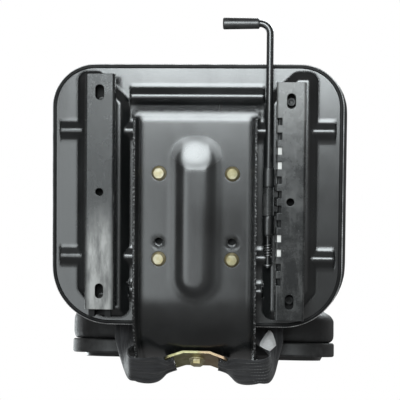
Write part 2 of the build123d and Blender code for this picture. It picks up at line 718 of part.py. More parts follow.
def lever_grip():
    """A moulded sleeve, a little thicker at its closed end."""
    profile = make_face(
        Polyline(
            (GRIP_OUTER_X, 0),
            (GRIP_OUTER_X, GRIP_TIP / 2),
            (GRIP_INNER_X, GRIP / 2),
            (GRIP_INNER_X, ROD / 2 + FIT_GAP),
            (GRIP_OUTER_X + ROD_TIP_COVER - FIT_GAP, ROD / 2 + FIT_GAP),
            (GRIP_OUTER_X + ROD_TIP_COVER - FIT_GAP, 0),
            close=True,
        )
    )
    ends = profile.vertices().sort_by(Axis.Y)[-2:]
    grip = revolve(fillet(ends, GRIP_ROUND), Axis.X)
    return Pos(0, GRIP_Y, ROD_Z) * grip


def bearing_section():
    """A rod sleeve hung from a plate, seen along the rod."""
    plate_low = PLATEAU_Z - BEARING_PLATE
    plate_inner = ROD_X - BEARING_NECK
    plate_outer = RAIL_X - HAT_WIDTH / 2 - FIT_GAP
    plate = Pos((plate_inner + plate_outer) / 2, PLATEAU_Z - BEARING_PLATE / 2) * Rectangle(
        plate_outer - plate_inner, BEARING_PLATE
    )
    neck_height = plate_low - ROD_Z + FIT_GAP
    neck = Pos(ROD_X, ROD_Z + neck_height / 2) * Rectangle(BEARING_NECK, neck_height)
    section = plate + neck + Pos(ROD_X, ROD_Z) * Circle(BEARING_OUTSIDE)
    return section - Pos(ROD_X, ROD_Z) * Circle(ROD / 2 + SLIDE_GAP)


def bearing(direction):
    """One bearing, ahead of the latch or behind it."""
    away = (LATCH_LENGTH + BEARING_LENGTH) / 2 + SLIDE_GAP
    return Pos(0, RAIL_SEAT_Y + direction * away, 0) * along_y(bearing_section(), BEARING_LENGTH)


def latch_plate():
    """A sleeve on the rod with a plate and two fingers that drop into notches."""
    sleeve = Circle(ROD / 2 + BEARING_WALL) - Circle(ROD / 2 + FIT_GAP)
    latch = along_y(sleeve, LATCH_LENGTH)
    root = ROD / 2 + BEARING_WALL / 2
    outward = (Align.MIN, Align.CENTER, Align.CENTER)
    body = Box(LATCH_BODY_REACH - root, LATCH_LENGTH, LATCH_PLATE, align=outward)
    latch += Pos(root, 0, 0) * body
    finger = Box(LATCH_FINGER_REACH - root, LATCH_FINGER, LATCH_PLATE, align=outward)
    for end in (-1, 1):
        latch += Pos(root, end * NOTCH_PITCH / 2, 0) * finger
    return Pos(ROD_X, RAIL_SEAT_Y, ROD_Z) * Rot(0, LATCH_DROOP, 0) * latch


def return_spring():
    """The coil on the rod's tail that turns the latch back into its notches."""
    pitch = SPRING_LENGTH / SPRING_TURNS
    coil = Helix(pitch, SPRING_LENGTH, SPRING_MEAN / 2)
    start = Plane(origin=coil @ 0, z_dir=coil % 0)
    wire = sweep(start * Circle(SPRING_WIRE / 2), path=coil, is_frenet=True)
    return Pos(ROD_X, SPRING_FRONT_Y, ROD_Z) * Rot(-90, 0, 0) * wire


def rod_retainer():
    """A spring washer that keeps the coil on the tail."""
    ring = Circle(RETAINER / 2) - Circle(ROD_TAIL / 2 + FIT_GAP)
    at = ROD_END_Y - RETAINER_FROM_END
    return Pos(ROD_X, at, ROD_Z) * along_y(ring, RETAINER_THICK)


def anchor_plane():
    """A frame on the bracket's bend: X across, Z pointing out of the bend."""
    y, z = bend_point(ANCHOR_ANGLE, BRACKET_BEND_RADIUS)
    turn = radians(ANCHOR_ANGLE)
    return Location(Plane(origin=(0, y, z), x_dir=(1, 0, 0), z_dir=(0, sin(turn), -cos(turn))))


def wing_point(along, out):
    """A point on the anchor's wing, by distance along it and out from its inner face."""
    wing = radians(ANCHOR_WING)
    x = ANCHOR_FLAT / 2 + along * cos(wing) - out * sin(wing)
    return x, along * sin(wing) + out * cos(wing)


def wing_length():
    return (ANCHOR_WIDTH - ANCHOR_FLAT) / 2 / cos(radians(ANCHOR_WING))


def anchor_plate():
    """A zinc-plated strip with two wings bent out, each slotted for a belt."""
    reach = wing_length()
    right = [
        (ANCHOR_FLAT / 2, 0),
        wing_point(reach, 0),
        wing_point(reach, ANCHOR_SHEET),
        (wing_point(0, ANCHOR_SHEET)[0], ANCHOR_SHEET),
    ]
    left = [(-x, z) for x, z in reversed(right)]
    section = make_face(Polyline(right + left, close=True))
    plan = RectangleRounded(ANCHOR_WIDTH, ANCHOR_HEIGHT, ANCHOR_CORNER)
    plate = along_y(section, ANCHOR_HEIGHT) & slab(plan, -ANCHOR_WIDTH, ANCHOR_WIDTH)
    plate -= Cylinder((ANCHOR_BOLT + HOLE_ROOM) / 2, 4 * ANCHOR_SHEET)
    slot = Box(ANCHOR_SLOT, BELT_WIDTH + ANCHOR_SLOT_ROOM, 6 * ANCHOR_SHEET)
    middle = reach - ANCHOR_BAR - ANCHOR_SLOT / 2
    for side in (-1, 1):
        x, z = wing_point(middle, ANCHOR_SHEET / 2)
        plate -= Pos(side * x, 0, z) * Rot(0, -side * ANCHOR_WING, 0) * slot
    return anchor_plane() * plate


def anchor_bolt():
    low = ANCHOR_SHEET + ANCHOR_WASHER_THICK
    head = slab(hexagon(ANCHOR_BOLT_FLATS), low, low + ANCHOR_BOLT_HEAD)
    shank = slab(Circle(ANCHOR_BOLT / 2), anchor_nut_low() - ANCHOR_BOLT_PROUD, low)
    return anchor_plane() * (head + shank)


def anchor_washer():
    ring = Circle(ANCHOR_WASHER / 2) - Circle(ANCHOR_BOLT / 2 + FIT_GAP)
    return anchor_plane() * slab(ring, ANCHOR_SHEET, ANCHOR_SHEET + ANCHOR_WASHER_THICK)


def anchor_nut_low():
    """The nut's far face; the nut clears the curved sheet at its corners."""
    corner = ANCHOR_BOLT_FLATS / 2
    inner = BRACKET_BEND_RADIUS - BRACKET_SHEET
    return -BRACKET_SHEET - (inner - sqrt(inner**2 - corner**2)) - ANCHOR_NUT_HEIGHT


def anchor_nut():
    ring = hexagon(ANCHOR_BOLT_FLATS) - Circle(ANCHOR_BOLT / 2 + FIT_GAP)
    low = anchor_nut_low()
    return anchor_plane() * slab(ring, low, low + ANCHOR_NUT_HEIGHT)


def belt_sections(side):
    """Centre, travel and width directions along the belt, from anchor to cushion."""
    wing = radians(ANCHOR_WING)
    turn = radians(ANCHOR_ANGLE)
    reach, level = wing_point(wing_length() + BELT_LOOP_GAP + BELT_THICK / 2, ANCHOR_SHEET / 2)
    normal = Vector(0, sin(turn), -cos(turn))
    y, z = bend_point(ANCHOR_ANGLE, BRACKET_BEND_RADIUS)
    start = Vector(reach, y, z) + normal * level
    out = Vector(cos(wing), 0, 0) + normal * sin(wing)
    across = Vector(0, cos(turn), sin(turn))
    rows = [(start, out, across)]
    rows += [tuple(Vector(*v) for v in row) for row in BELT_ROUTE]
    return [tuple(Vector(side * v.X, v.Y, v.Z) for v in row) for row in rows]


def belt_webbing(side):
    """One half of the lap belt: a stitched loop in the anchor and the strap."""
    faces = []
    for centre, travel, across in belt_sections(side):
        plane = Plane(origin=centre, x_dir=across, z_dir=travel)
        faces.append(plane * Rectangle(BELT_WIDTH, BELT_THICK))
    strap = loft(faces, ruled=True)
    around = 2 * BELT_LOOP_GAP
    loop_inside = RectangleRounded(ANCHOR_BAR + around, ANCHOR_SHEET + around, BELT_LOOP_ROUND)
    around += 2 * BELT_THICK
    round_outside = BELT_LOOP_ROUND + BELT_THICK
    loop_outside = RectangleRounded(ANCHOR_BAR + around, ANCHOR_SHEET + around, round_outside)
    loop = along_y(loop_outside - loop_inside, BELT_WIDTH)
    x, z = wing_point(wing_length() - ANCHOR_BAR / 2, ANCHOR_SHEET / 2)
    loop = anchor_plane() * Pos(side * x, 0, z) * Rot(0, -side * ANCHOR_WING, 0) * loop
    return strap + loop


def buckle_housing():
    """A moulded buckle, open at the front for its button and for the tongue."""
    low = buckle_level()
    shell = Pos(0, 0, low + BUCKLE_HEIGHT / 2) * Box(BUCKLE_WIDTH, BUCKLE_LENGTH, BUCKLE_HEIGHT)
    shell = fillet(shell.edges(), BUCKLE_ROUND)
    pocket = Box(
        BUTTON_WIDTH + 2 * SLIDE_GAP,
        BUTTON_LENGTH + BUTTON_TRAVEL + SLIDE_GAP,
        BUTTON_HEIGHT + 2 * SLIDE_GAP,
        align=(Align.CENTER, Align.MIN, Align.CENTER),
    )
    shell -= Pos(0, -BUCKLE_LENGTH / 2, low + BUTTON_LEVEL) * pocket
    entry = Box(
        TONGUE_WIDTH + 2 * TONGUE_ROOM,
        TONGUE_ENTRY,
        TONGUE_THICK + 2 * TONGUE_ROOM,
        align=(Align.CENTER, Align.MIN, Align.CENTER),
    )
    shell -= Pos(0, -BUCKLE_LENGTH / 2, low + TONGUE_LEVEL) * entry
    return Pos(BELT_X, buckle_y(), 0) * shell


def buckle_y():
    return BELT_END_Y - SEAT_GAP - BUCKLE_LENGTH / 2


def buckle_button():
    """The red release button in the buckle's front end."""
    middle = buckle_level() + BUTTON_LEVEL
    button = Box(
        BUTTON_WIDTH,
        BUTTON_LENGTH + BUTTON_PROUD,
        BUTTON_HEIGHT,
        align=(Align.CENTER, Align.MIN, Align.CENTER),
    )
    button = fillet(button.edges().filter_by(Axis.Y), BUTTON_ROUND)
    return Pos(BELT_X, buckle_y() - BUCKLE_LENGTH / 2 - BUTTON_PROUD, middle) * button


def tongue_cover():
    low = buckle_level()
    cover = Box(
        TONGUE_COVER_WIDTH,
        TONGUE_COVER_LENGTH,
        TONGUE_COVER_HEIGHT,
        align=(Align.CENTER, Align.MAX, Align.MIN),
    )
    cover = fillet(cover.edges(), TONGUE_COVER_ROUND)
    cover = Pos(-BELT_X, BELT_END_Y - SEAT_GAP, low) * cover
    return cover - tongue_plate()


def tongue_plate():
    """The steel tongue that enters the buckle, with its latch window."""
    rear = BELT_END_Y - SEAT_GAP - TONGUE_COVER_LENGTH / 2
    z = buckle_level() + TONGUE_COVER_HEIGHT / 2
    face = RectangleRounded(TONGUE_WIDTH, TONGUE_LENGTH, TONGUE_CORNER)
    window = RectangleRounded(TONGUE_WIDTH / 2, TONGUE_LENGTH / 4, TONGUE_CORNER / 2)
    face -= Pos(0, -TONGUE_LENGTH / 6) * window
    plate = slab(face, -TONGUE_THICK / 2, TONGUE_THICK / 2)
    return Pos(-BELT_X, rear - TONGUE_LENGTH / 2, z) * plate


def placed(shape, spots):
    """Copies of one solid at several places."""
    return [Pos(x, y, 0) * shape for x, y in spots]


def nodes():
    left, right = Pos(RAIL_X, RAIL_SEAT_Y, 0), Pos(-RAIL_X, RAIL_SEAT_Y, 0)
    plain = Pos(-RAIL_X, RAIL_SEAT_Y - PLAIN_RAIL_FORWARD, 0)
    made = {
        "seat_pan": [seat_pan()],
        "pan_edge_trim": [pan_edge_trim()],
        "seat_cushion": [seat_cushion()],
        "back_bracket": [back_bracket()],
        "bracket_bolts": placed(flange_bolt(), BRACKET_BOLTS),
        "bracket_weld_nuts": placed(weld_nut(BRACKET_BOLT), BRACKET_BOLTS),
        "back_shell": [back_shell()],
        "back_edge_trim": [back_edge_trim()],
        "back_cushion": [back_cushion()],
        "back_bolts": [place * back_bolt() for place in back_bolt_places()],
        "back_weld_nuts": [place * back_nut() for place in back_bolt_places()],
        "left_lower_rail": [left * notched_rail()],
        "right_lower_rail": [plain * lower_rail()],
        "left_upper_rail": [left * upper_rail()],
        "right_upper_rail": [right * upper_rail()],
        "left_glides": [left * glide for glide in glides()],
        "right_glides": [right * glide for glide in glides()],
        "rail_screws": placed(rail_screw(), RAIL_SCREWS),
        "rail_weld_nuts": placed(weld_nut(RAIL_SCREW), RAIL_SCREWS),
        "lever_rod": [lever_rod()],
        "lever_grip": [lever_grip()],
        "latch_plate": [latch_plate()],
        "front_bearing": [bearing(-1)],
        "rear_bearing": [bearing(1)],
        "return_spring": [return_spring()],
        "rod_retainer": [rod_retainer()],
        "belt_anchor": [anchor_plate()],
        "anchor_bolt": [anchor_bolt()],
        "anchor_washer": [anchor_washer()],
        "anchor_nut": [anchor_nut()],
        "left_belt": [belt_webbing(1)],
        "right_belt": [belt_webbing(-1)],
        "buckle_housing": [buckle_housing()],
        "buckle_button": [buckle_button()],
        "tongue_cover": [tongue_cover()],
        "tongue_plate": [tongue_plate()],
    }
    return made


def main():
    made = nodes()
    boxes = [solid.bounding_box() for solids in made.values() for solid in solids]
    front = min(box.min.Y for box in boxes)
    rear = max(box.max.Y for box in boxes)
    to_middle = Pos(0, -(front + rear) / 2, 0)
    print("moved to the middle of the footprint by Y", to_middle.position.Y)
    os.makedirs("parts", exist_ok=True)
    for name, solids in made.items():
        moved = [to_middle * solid for solid in solids]
        shape = moved[0] if len(moved) == 1 else Compound(children=moved)
        export_step(shape, f"parts/{name}.step")


main()
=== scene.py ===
# %% [markdown]
# # A machine seat, seen from below
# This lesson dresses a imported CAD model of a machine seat: a pressed pan on two slide rails,
# a backrest on a folded bracket, a lever that locks the slide, and a lap belt.
# Everything could be modelled again in Blender, but then the joints would no longer fit.
# So the steel parts keep their CAD shapes and get procedural paint, zinc, nylon and rubber.
# Only what is soft or thin is modelled again here: cushions, belt, label, stitches, backrest rim.

# %% Load the frame
from math import cos, pi, radians, sin

import bmesh
import bpy
from mathutils import Matrix, Vector


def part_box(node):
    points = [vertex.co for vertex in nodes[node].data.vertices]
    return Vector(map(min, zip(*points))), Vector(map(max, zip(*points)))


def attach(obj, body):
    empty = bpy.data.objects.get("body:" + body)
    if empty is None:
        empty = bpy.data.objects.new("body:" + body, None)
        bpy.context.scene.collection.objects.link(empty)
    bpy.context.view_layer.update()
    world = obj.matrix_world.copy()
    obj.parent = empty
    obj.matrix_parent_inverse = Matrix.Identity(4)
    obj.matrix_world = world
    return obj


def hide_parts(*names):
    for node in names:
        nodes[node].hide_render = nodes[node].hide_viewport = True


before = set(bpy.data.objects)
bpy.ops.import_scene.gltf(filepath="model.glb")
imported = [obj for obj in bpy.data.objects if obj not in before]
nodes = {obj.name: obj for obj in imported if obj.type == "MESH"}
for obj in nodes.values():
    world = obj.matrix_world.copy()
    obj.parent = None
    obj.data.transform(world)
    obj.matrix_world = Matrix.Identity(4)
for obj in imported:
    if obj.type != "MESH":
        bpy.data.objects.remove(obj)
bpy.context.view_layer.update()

print(len(nodes), "CAD nodes")

# %% [markdown]
# ## Sizes shared with the CAD model
# The CAD source was drawn about the middle of the pan, then moved to the middle of the footprint.
# Places could be typed as they are after that move, but they would no longer match the source.
# So `SHIFT` is the move, and a size of the source can be used here as it stands, in metres.
# `BACK_FRAME` stands a shape that is drawn lying flat up against the leaning backrest.

# %% Shared sizes
SHIFT = Vector((0, -0.0284165, 0))
BEND_CENTRE = Vector((0, 0.145, 0.140)) + SHIFT
BEND_RADIUS = 0.115
BACK_LEAN = radians(10)
RAIL_X = 0.136
BACK_ORIGIN = Vector((0, 0.2553, 0.12055)) + SHIFT
BACK_FRAME = (
    Matrix.Translation(BACK_ORIGIN)
    @ Matrix.Rotation(-BACK_LEAN, 4, "X")
    @ Matrix.Rotation(radians(90), 4, "X")
)
EULER = 2.718
print("backrest stands at", [round(v, 3) for v in BACK_ORIGIN])

# %% [markdown]
# ## Writing shaders as sums
# Nodes can be placed one by one, but twenty of them hide what the finish is.
# A `Wire` is one output of a shader node, and a sum of wires adds its own maths nodes.
# So a material reads like a formula: `1 - mask` or `scuff * 0.16 + cloud * 0.12`.

# %% Shader helper
class Wire:
    """An output socket that can be used in sums."""

    def __init__(self, tree, socket):
        self.tree = tree
        self.socket = socket

    def node(self, kind, *values, out=0, at=None, **named):
        """A new node: capital names are its inputs, the others are its settings."""
        made = self.tree.nodes.new("ShaderNode" + kind)
        fed = dict(enumerate(values)) | (at or {})
        for name, value in named.items():
            if name[0].islower():
                setattr(made, name, value)
            else:
                fed[name.replace("_", " ")] = value
        for key, value in fed.items():
            if isinstance(value, Wire):
                self.tree.links.new(value.socket, made.inputs[key])
            else:
                made.inputs[key].default_value = value
        return Wire(self.tree, made.outputs[out])

    def maths(self, operation, *others):
        """This value, and any others after it, through one maths node."""
        return self.node("Math", self, *others, operation=operation)

    def reflected(self, operation, first):
        """The same with another value first, as 1 - mask needs it."""
        return self.node("Math", first, self, operation=operation)

    def __add__(self, other):
        return self.maths("ADD", other)

    def __sub__(self, other):
        return self.maths("SUBTRACT", other)

    def __rsub__(self, other):
        return self.reflected("SUBTRACT", other)

    def __mul__(self, other):
        return self.maths("MULTIPLY", other)

    def __truediv__(self, other):
        return self.maths("DIVIDE", other)

    def __rtruediv__(self, other):
        return self.reflected("DIVIDE", other)

    def __rpow__(self, other):
        return self.reflected("POWER", other)

    def __gt__(self, other):
        return self.maths("GREATER_THAN", other)

    __radd__ = __add__
    __rmul__ = __mul__

    def step(self, low, high):
        """0 below low and 1 above high, smooth between."""
        return self.node(
            "MapRange", self, low, high, interpolation_type="SMOOTHSTEP", clamp=True
        )

    def colours(self, low, high):
        """A blend from one colour to the other."""
        return self.node("Mix", self, data_type="RGBA", out=2, at={6: low, 7: high})


print("shader helper ready")


# %% [markdown]
# ## A surface
# A `Surface` is one material with its Principled shader.
# Numbers that are the same all over go straight onto the shader's sockets.
# What varies is a `Wire` made from the object's own coordinates, which are the CAD frame in metres.
# Images wrapped by UV would also work, but the CAD meshes have no UV map and noise has no edge.

# %% Surface helper
class Surface(Wire):
    """A material whose varying values are wires."""

    def __init__(self, name, **constants):
        self.material = bpy.data.materials.new(name)
        self.material.use_nodes = True
        super().__init__(self.material.node_tree, None)
        self.shader = self.tree.nodes["Principled BSDF"]
        for socket, value in constants.items():
            self.shader.inputs[socket.replace("_", " ")].default_value = value
        self.place = self.node("TexCoord", out="Object")
        self.x, self.y, self.z = (
            self.node("SeparateXYZ", self.place, out=axis) for axis in "XYZ"
        )

    def feed(self, **wires):
        """Links wires to the shader's sockets."""
        for socket, wire in wires.items():
            self.tree.links.new(wire.socket, self.shader.inputs[socket.replace("_", " ")])
        return self

    def bump(self, height, distance, round_edges=None):
        """Height from 0 to 1 as relief of a depth in metres, on edges softened by a radius."""
        settings = dict(Distance=distance, Height=height)
        if round_edges:
            settings["Normal"] = self.node("Bevel", Radius=round_edges, samples=8)
        return self.feed(Normal=self.node("Bump", **settings))

    def noise(self, size, detail=3.0, stretch=(1, 1, 1), roughness=0.5):
        """Cloudy noise whose blotches are about one size, in metres."""
        spread = self.node("Mapping", self.place, Scale=stretch)
        return self.node("TexNoise", spread, Scale=1 / size, Detail=detail, Roughness=roughness)

    def specks(self, spacing, radius):
        """Small soft-edged dots, one in each cell of a spacing."""
        cell = self.node("TexVoronoi", self.place, Scale=1 / spacing)
        return 1 - cell.step(radius / spacing * 0.6, radius / spacing)


def grey(value, tint=(1, 1, 1)):
    return (value * tint[0], value * tint[1], value * tint[2], 1)


def dress(surface, *names):
    """Puts a surface on CAD nodes, in place of their plain material."""
    for name in names:
        materials = nodes[name].data.materials
        materials.clear()
        materials.append(surface.material)
    print(surface.material.name, "on", ", ".join(names))


# %% [markdown]
# ## Black paint
# The pan, the backrest's shell and the bracket are pressed sheet under one semi-gloss black paint.
# A clear coat over a black base is one way to make it, but that adds a second, harder gloss.
# One layer with a high specular level gives the soft grey mirror that dark paint has.
# Orange peel, a slow swell of the sheet, smudges and dust keep it from looking like glass.
# `round_edges` softens the light on edges that a press leaves rounder than the CAD model has them.

# %% Black paint
COOL = (0.93, 1.0, 1.02)
PAINT_BLACK, PAINT_DUSTY = grey(0.005, COOL), grey(0.035, COOL)
PAINT_RELIEF = 0.0002


def black_paint(name, gloss=0.22, round_edges=0.005):
    paint = Surface(name, Specular_IOR_Level=1.0)
    haze = paint.noise(0.09, detail=5).step(0.35, 0.75)
    streak = paint.noise(0.02, detail=4, stretch=(1, 0.25, 1)).step(0.5, 0.8)
    dust = paint.specks(spacing=0.021, radius=0.00045) * (paint.noise(0.12) > 0.5)
    paint.colour = (haze * 0.3 + dust * 0.9).colours(PAINT_BLACK, PAINT_DUSTY)
    paint.rough = gloss + haze * 0.05 + streak * 0.03 + dust * 0.3
    paint.feed(Base_Color=paint.colour, Roughness=paint.rough)
    peel = paint.noise(0.0022, detail=1)
    swell = paint.noise(0.03, detail=2, stretch=(1, 0.4, 1))
    paint.bump(peel * 0.1 + swell * 0.9, PAINT_RELIEF, round_edges)
    return paint


dress(black_paint("black_paint"), "seat_pan", "back_shell", "front_bearing", "rear_bearing")
dress(black_paint("rod_paint", gloss=0.2, round_edges=0.001), "lever_rod")

# %% [markdown]
# ## The bracket's raw edges
# The bracket is sheared and folded, and its flanges' cut edges are bright:
# partly bare metal where the paint is thin, partly a painted highlight of the light the rough edge
# catches.
# Those faces could be picked by number, but the numbers change with the CAD model.
# So a mask is worked out: `depth` is how far a point stands out of the web,
# followed round the bend and up the leg, and the cut edge is where it is greatest.

# %% Bracket edges
EDGE_DEPTH = (0.0200, 0.0204)
bracket = black_paint("bracket_paint", round_edges=0.011)
along = (bracket.y - BEND_CENTRE.y).maths("MAXIMUM", 0.0)
above = bracket.z - BEND_CENTRE.z
past = (along * sin(BACK_LEAN) + above * cos(BACK_LEAN)).maths("MAXIMUM", 0.0)
reach = along * along + above * above - past * past
depth = reach.maths("SQRT") - BEND_RADIUS
ragged = bracket.noise(0.005, detail=4) * 0.0016
# Bare metal and painted highlight: the speckled cut edges are lightened towards grey.
bare_and_glint = (depth + ragged).step(*EDGE_DEPTH) * bracket.noise(0.003).step(0.52, 0.64)
print("bare edges from", EDGE_DEPTH[0], "m out of the web")

# %% [markdown]
# ## The bead's soft ramp
# The bead's front ramp is pressed, so on the real bracket its foot fades into the web.
# The CAD ramp ends in a crisp line, and a bump laid over it gave a dark band.
# A duller ring along that line spreads the light there instead, which stands in for a soft foot.

# %% Bracket paint
RAMP_Y, RAMP_HALF_X, RAMP_HALF_Y = -0.0915, 0.027, 0.019
RING_FALL, RING_DULL = 3.0, 0.15
ramp_x, ramp_y = bracket.x / RAMP_HALF_X, (bracket.y - RAMP_Y) / RAMP_HALF_Y
from_ramp = ramp_x * ramp_x + ramp_y * ramp_y - 1.0
haze_ring = EULER ** (from_ramp * from_ramp * -RING_FALL)
bracket.feed(
    Base_Color=(bare_and_glint * 0.3).colours(bracket.colour, grey(0.4)),
    Roughness=bracket.rough + bare_and_glint * 0.2 + haze_ring * RING_DULL,
)
dress(bracket, "back_bracket")

# %% [markdown]
# ## Wear on the rails
# The lower rails have a duller coating, rubbed along the slide, dusty, and worn at the corners.
# One noise over everything would look like rust, so each kind of wear has a mask of its own.
# `side` is the distance from a rail's middle line and `under` picks the faces that touch the floor.
# The plain rail carries a pale film at the rear, and the notched one is paler at its front.

# %% Rail wear
rail = Surface("rail_coating", Specular_IOR_Level=0.55)
scuff = rail.noise(0.012, detail=6, stretch=(1, 0.18, 1), roughness=0.7).step(0.52, 0.8)
cloud = rail.noise(0.05, detail=6, roughness=0.65).step(0.42, 0.72)
grit = rail.specks(spacing=0.006, radius=0.0005) * rail.noise(0.03).step(0.46, 0.6)
side = (rail.x.maths("ABSOLUTE") - RAIL_X).maths("ABSOLUTE")
corner = side.step(0.0198, 0.0207) * (1 - rail.z.step(0.001, 0.003))
edge = corner * rail.noise(0.01, detail=5).step(0.5, 0.75)
under = 1 - rail.z.step(0.0005, 0.002)
plain_rear = rail.y.step(-0.03, 0.05) * (1 - rail.x.step(-0.02, 0.02)) * under
streak = rail.noise(0.014, detail=5, stretch=(1, 0.22, 1), roughness=0.65).step(0.3, 0.72)
film = plain_rear * (1 - side.step(0.012, 0.0195) * 0.75) * (streak * 1.2 + 0.3)
front = (1 - rail.y.step(-0.17, -0.08)) * rail.x.step(0.02, 0.05) * under
notched_more = rail.x.step(-0.02, 0.02) * 0.8 + 0.2
rubbed = (scuff * 0.16 + cloud * 0.12) * notched_more
print("rail masks ready")

# %% [markdown]
# ## Rail coating, and painted shade on the upper rails
# The masks are added up into one amount of wear, which blends black into pale grey.
# The upper rails run inside the lower ones and are coloured almost black as painted shade.
# They show only through the slots and notches, which then look as black as the shade inside a used
# slide.

# %% Rail coating
wear = rubbed + grit * 0.7 + edge * 0.5 + film * 0.75 + front * 0.3
rail.feed(
    Base_Color=wear.colours(grey(0.012, COOL), grey(0.3, (1, 1, 0.97))),
    Roughness=0.24 + cloud * 0.12 + scuff * 0.1 + film * 0.15,
)
grain, swell = rail.noise(0.0016, detail=2), rail.noise(0.02)
rail.bump(grain * 0.2 + swell * 0.8, distance=0.0003, round_edges=0.0015)
dress(rail, "left_lower_rail", "right_lower_rail", "latch_plate")
# Painted shade: the upper rails are almost black so that the slots and notches look shaded.
upper_rail_shade = Surface("upper_rail_painted_shade", Specular_IOR_Level=0.25)
shade_streaks = upper_rail_shade.noise(0.01, detail=4, stretch=(1, 0.3, 1))
upper_rail_shade.feed(Base_Color=shade_streaks.colours(grey(0.002), grey(0.008)), Roughness=0.45 + shade_streaks * 0.3)
upper_rail_shade.bump(shade_streaks, distance=0.0002)
dress(upper_rail_shade, "left_upper_rail", "right_upper_rail")

# %% [markdown]
# ## Plated steel
# Nuts, bolts, spring and tongue are plated or oiled steel.
# A single metal colour looks cast, so every plating drifts between two tones, with stains.
# The bevel in the bump catches light on the small edges, which the CAD model leaves sharp.

# %% Plain platings
def plating(name, low, high, rough, metallic=1.0):
    metal = Surface(name, Metallic=metallic)
    drift = metal.noise(0.012).step(0.35, 0.65)
    stain = metal.noise(0.004, detail=4).step(0.4, 0.8)
    metal.tint = drift.colours(low, high)
    metal.feed(Base_Color=metal.tint, Roughness=rough + stain * 0.18)
    metal.bump(metal.noise(0.0006, detail=2), distance=0.00005, round_edges=0.0012)
    return metal


hidden_nuts = ("bracket_weld_nuts", "back_weld_nuts", "rail_weld_nuts", "anchor_nut")
dress(plating("plain_zinc", grey(0.55), grey(0.7), 0.3), *hidden_nuts, "back_bolts")
dress(plating("spring_steel", grey(0.22), grey(0.4), 0.35), "return_spring", "rod_retainer")
dress(plating("dark_steel", grey(0.03), grey(0.08), 0.4), "rail_screws")
dress(plating("tongue_steel", grey(0.6), grey(0.75), 0.2), "tongue_plate")

# %% [markdown]
# ## Yellow passivation
# The bracket's bolts and the belt's anchor are zinc plated and passivated yellow.
# That film is never one colour: it drifts between gold, green and pink, and its gloss varies in
# patches.
# The bolts on the lever's side are duller, and each flange is painted darker than the hexagon above
# it, as painted shade at the hexagon's foot. The anchor is olive and turns rosy towards the lever's
# side.

# %% Yellow platings
HEXAGON_FOOT = (0.0176, 0.0222)
BEHIND_BOLTS = (0.12, 0.16)
zinc = plating("yellow_zinc", (0.42, 0.36, 0.2, 1), (0.5, 0.47, 0.35, 1), 0.55, metallic=0.75)
# The bolts on the lever's side are blended in patches towards a darker olive.
dull = zinc.x.step(0.0, 0.03) * zinc.noise(0.009).step(0.3, 0.6)
lever_side_tone = (dull * 0.75).colours(zinc.tint, (0.24, 0.22, 0.12, 1))
# Painted shade: each bolt's flange is darkened below its hexagon, where the head shades it.
flange_shade = zinc.z.step(*HEXAGON_FOOT) * (1 - zinc.y.step(*BEHIND_BOLTS))
zinc.feed(Base_Color=(flange_shade * 0.5).colours(lever_side_tone, (0.13, 0.09, 0.03, 1)))
dress(zinc, "bracket_bolts", "anchor_bolt", "anchor_washer")
olive = plating("olive_zinc", (0.27, 0.255, 0.13, 1), (0.4, 0.385, 0.225, 1), 0.42)
rosy = olive.x.step(0.0, 0.012) * 0.7 + olive.noise(0.02, detail=2).step(0.5, 0.7) * 0.3
olive.feed(Base_Color=(rosy * 0.8).colours(olive.tint, (0.42, 0.28, 0.2, 1)))
dress(olive, "belt_anchor")

# %% [markdown]
# ## Plastics and rubber
# White nylon glides, a soft dipped grip, the edge strips and a moulded buckle.
# They differ in colour, gloss and grain but not in kind, so one recipe makes them all.
# A slight blotch and a fine grain are what tell moulded plastic from paint.

# %% Plastics
def plastic(name, low, high, rough, grain, relief, gloss=0.45, round_edges=None):
    mould = Surface(name, Specular_IOR_Level=gloss)
    blotch = mould.noise(0.02, detail=4).step(0.35, 0.7)
    mould.feed(
        Base_Color=blotch.colours(low, high),
        Roughness=rough + mould.noise(0.008) * 0.12,
    )
    mould.bump(mould.noise(grain, detail=2), relief, round_edges)
    return mould


CREAM, IVORY = grey(0.5, (1, 0.99, 0.95)), grey(0.62, (1, 0.99, 0.96))
RED, BRIGHT_RED = (0.45, 0.01, 0.008, 1), (0.55, 0.018, 0.012, 1)
nylon = plastic("nylon", CREAM, IVORY, rough=0.4, grain=0.002, relief=0.00005)
grip = plastic(
    "grip",
    grey(0.012),
    grey(0.026),
    rough=0.28,
    grain=0.0012,
    relief=0.0001,
    gloss=0.8,
    round_edges=0.003,
)
strip = plastic("edge_trim", grey(0.004), grey(0.008), 0.4, 0.0015, relief=0.00012, gloss=0.16)
back_trim = plastic("back_trim", grey(0.014), grey(0.03), 0.45, grain=0.0025, relief=0.0002)
buckle = plastic("buckle_plastic", grey(0.015), grey(0.024), 0.42, grain=0.0009, relief=0.00008)
button = plastic("button_red", RED, BRIGHT_RED, rough=0.25, grain=0.0015, relief=0.00003)
dress(nylon, "left_glides", "right_glides")
dress(grip, "lever_grip")
dress(strip, "pan_edge_trim")
dress(back_trim, "back_edge_trim")
dress(buckle, "buckle_housing", "tongue_cover")
dress(button, "buckle_button")

# %% [markdown]
# ## Vinyl
# The cushions' cover is black vinyl, embossed with a leather grain.
# Noise alone looks like sand. The borders of Voronoi cells look like creases round small cells,
# and a slower noise under them is the unevenness of the foam.

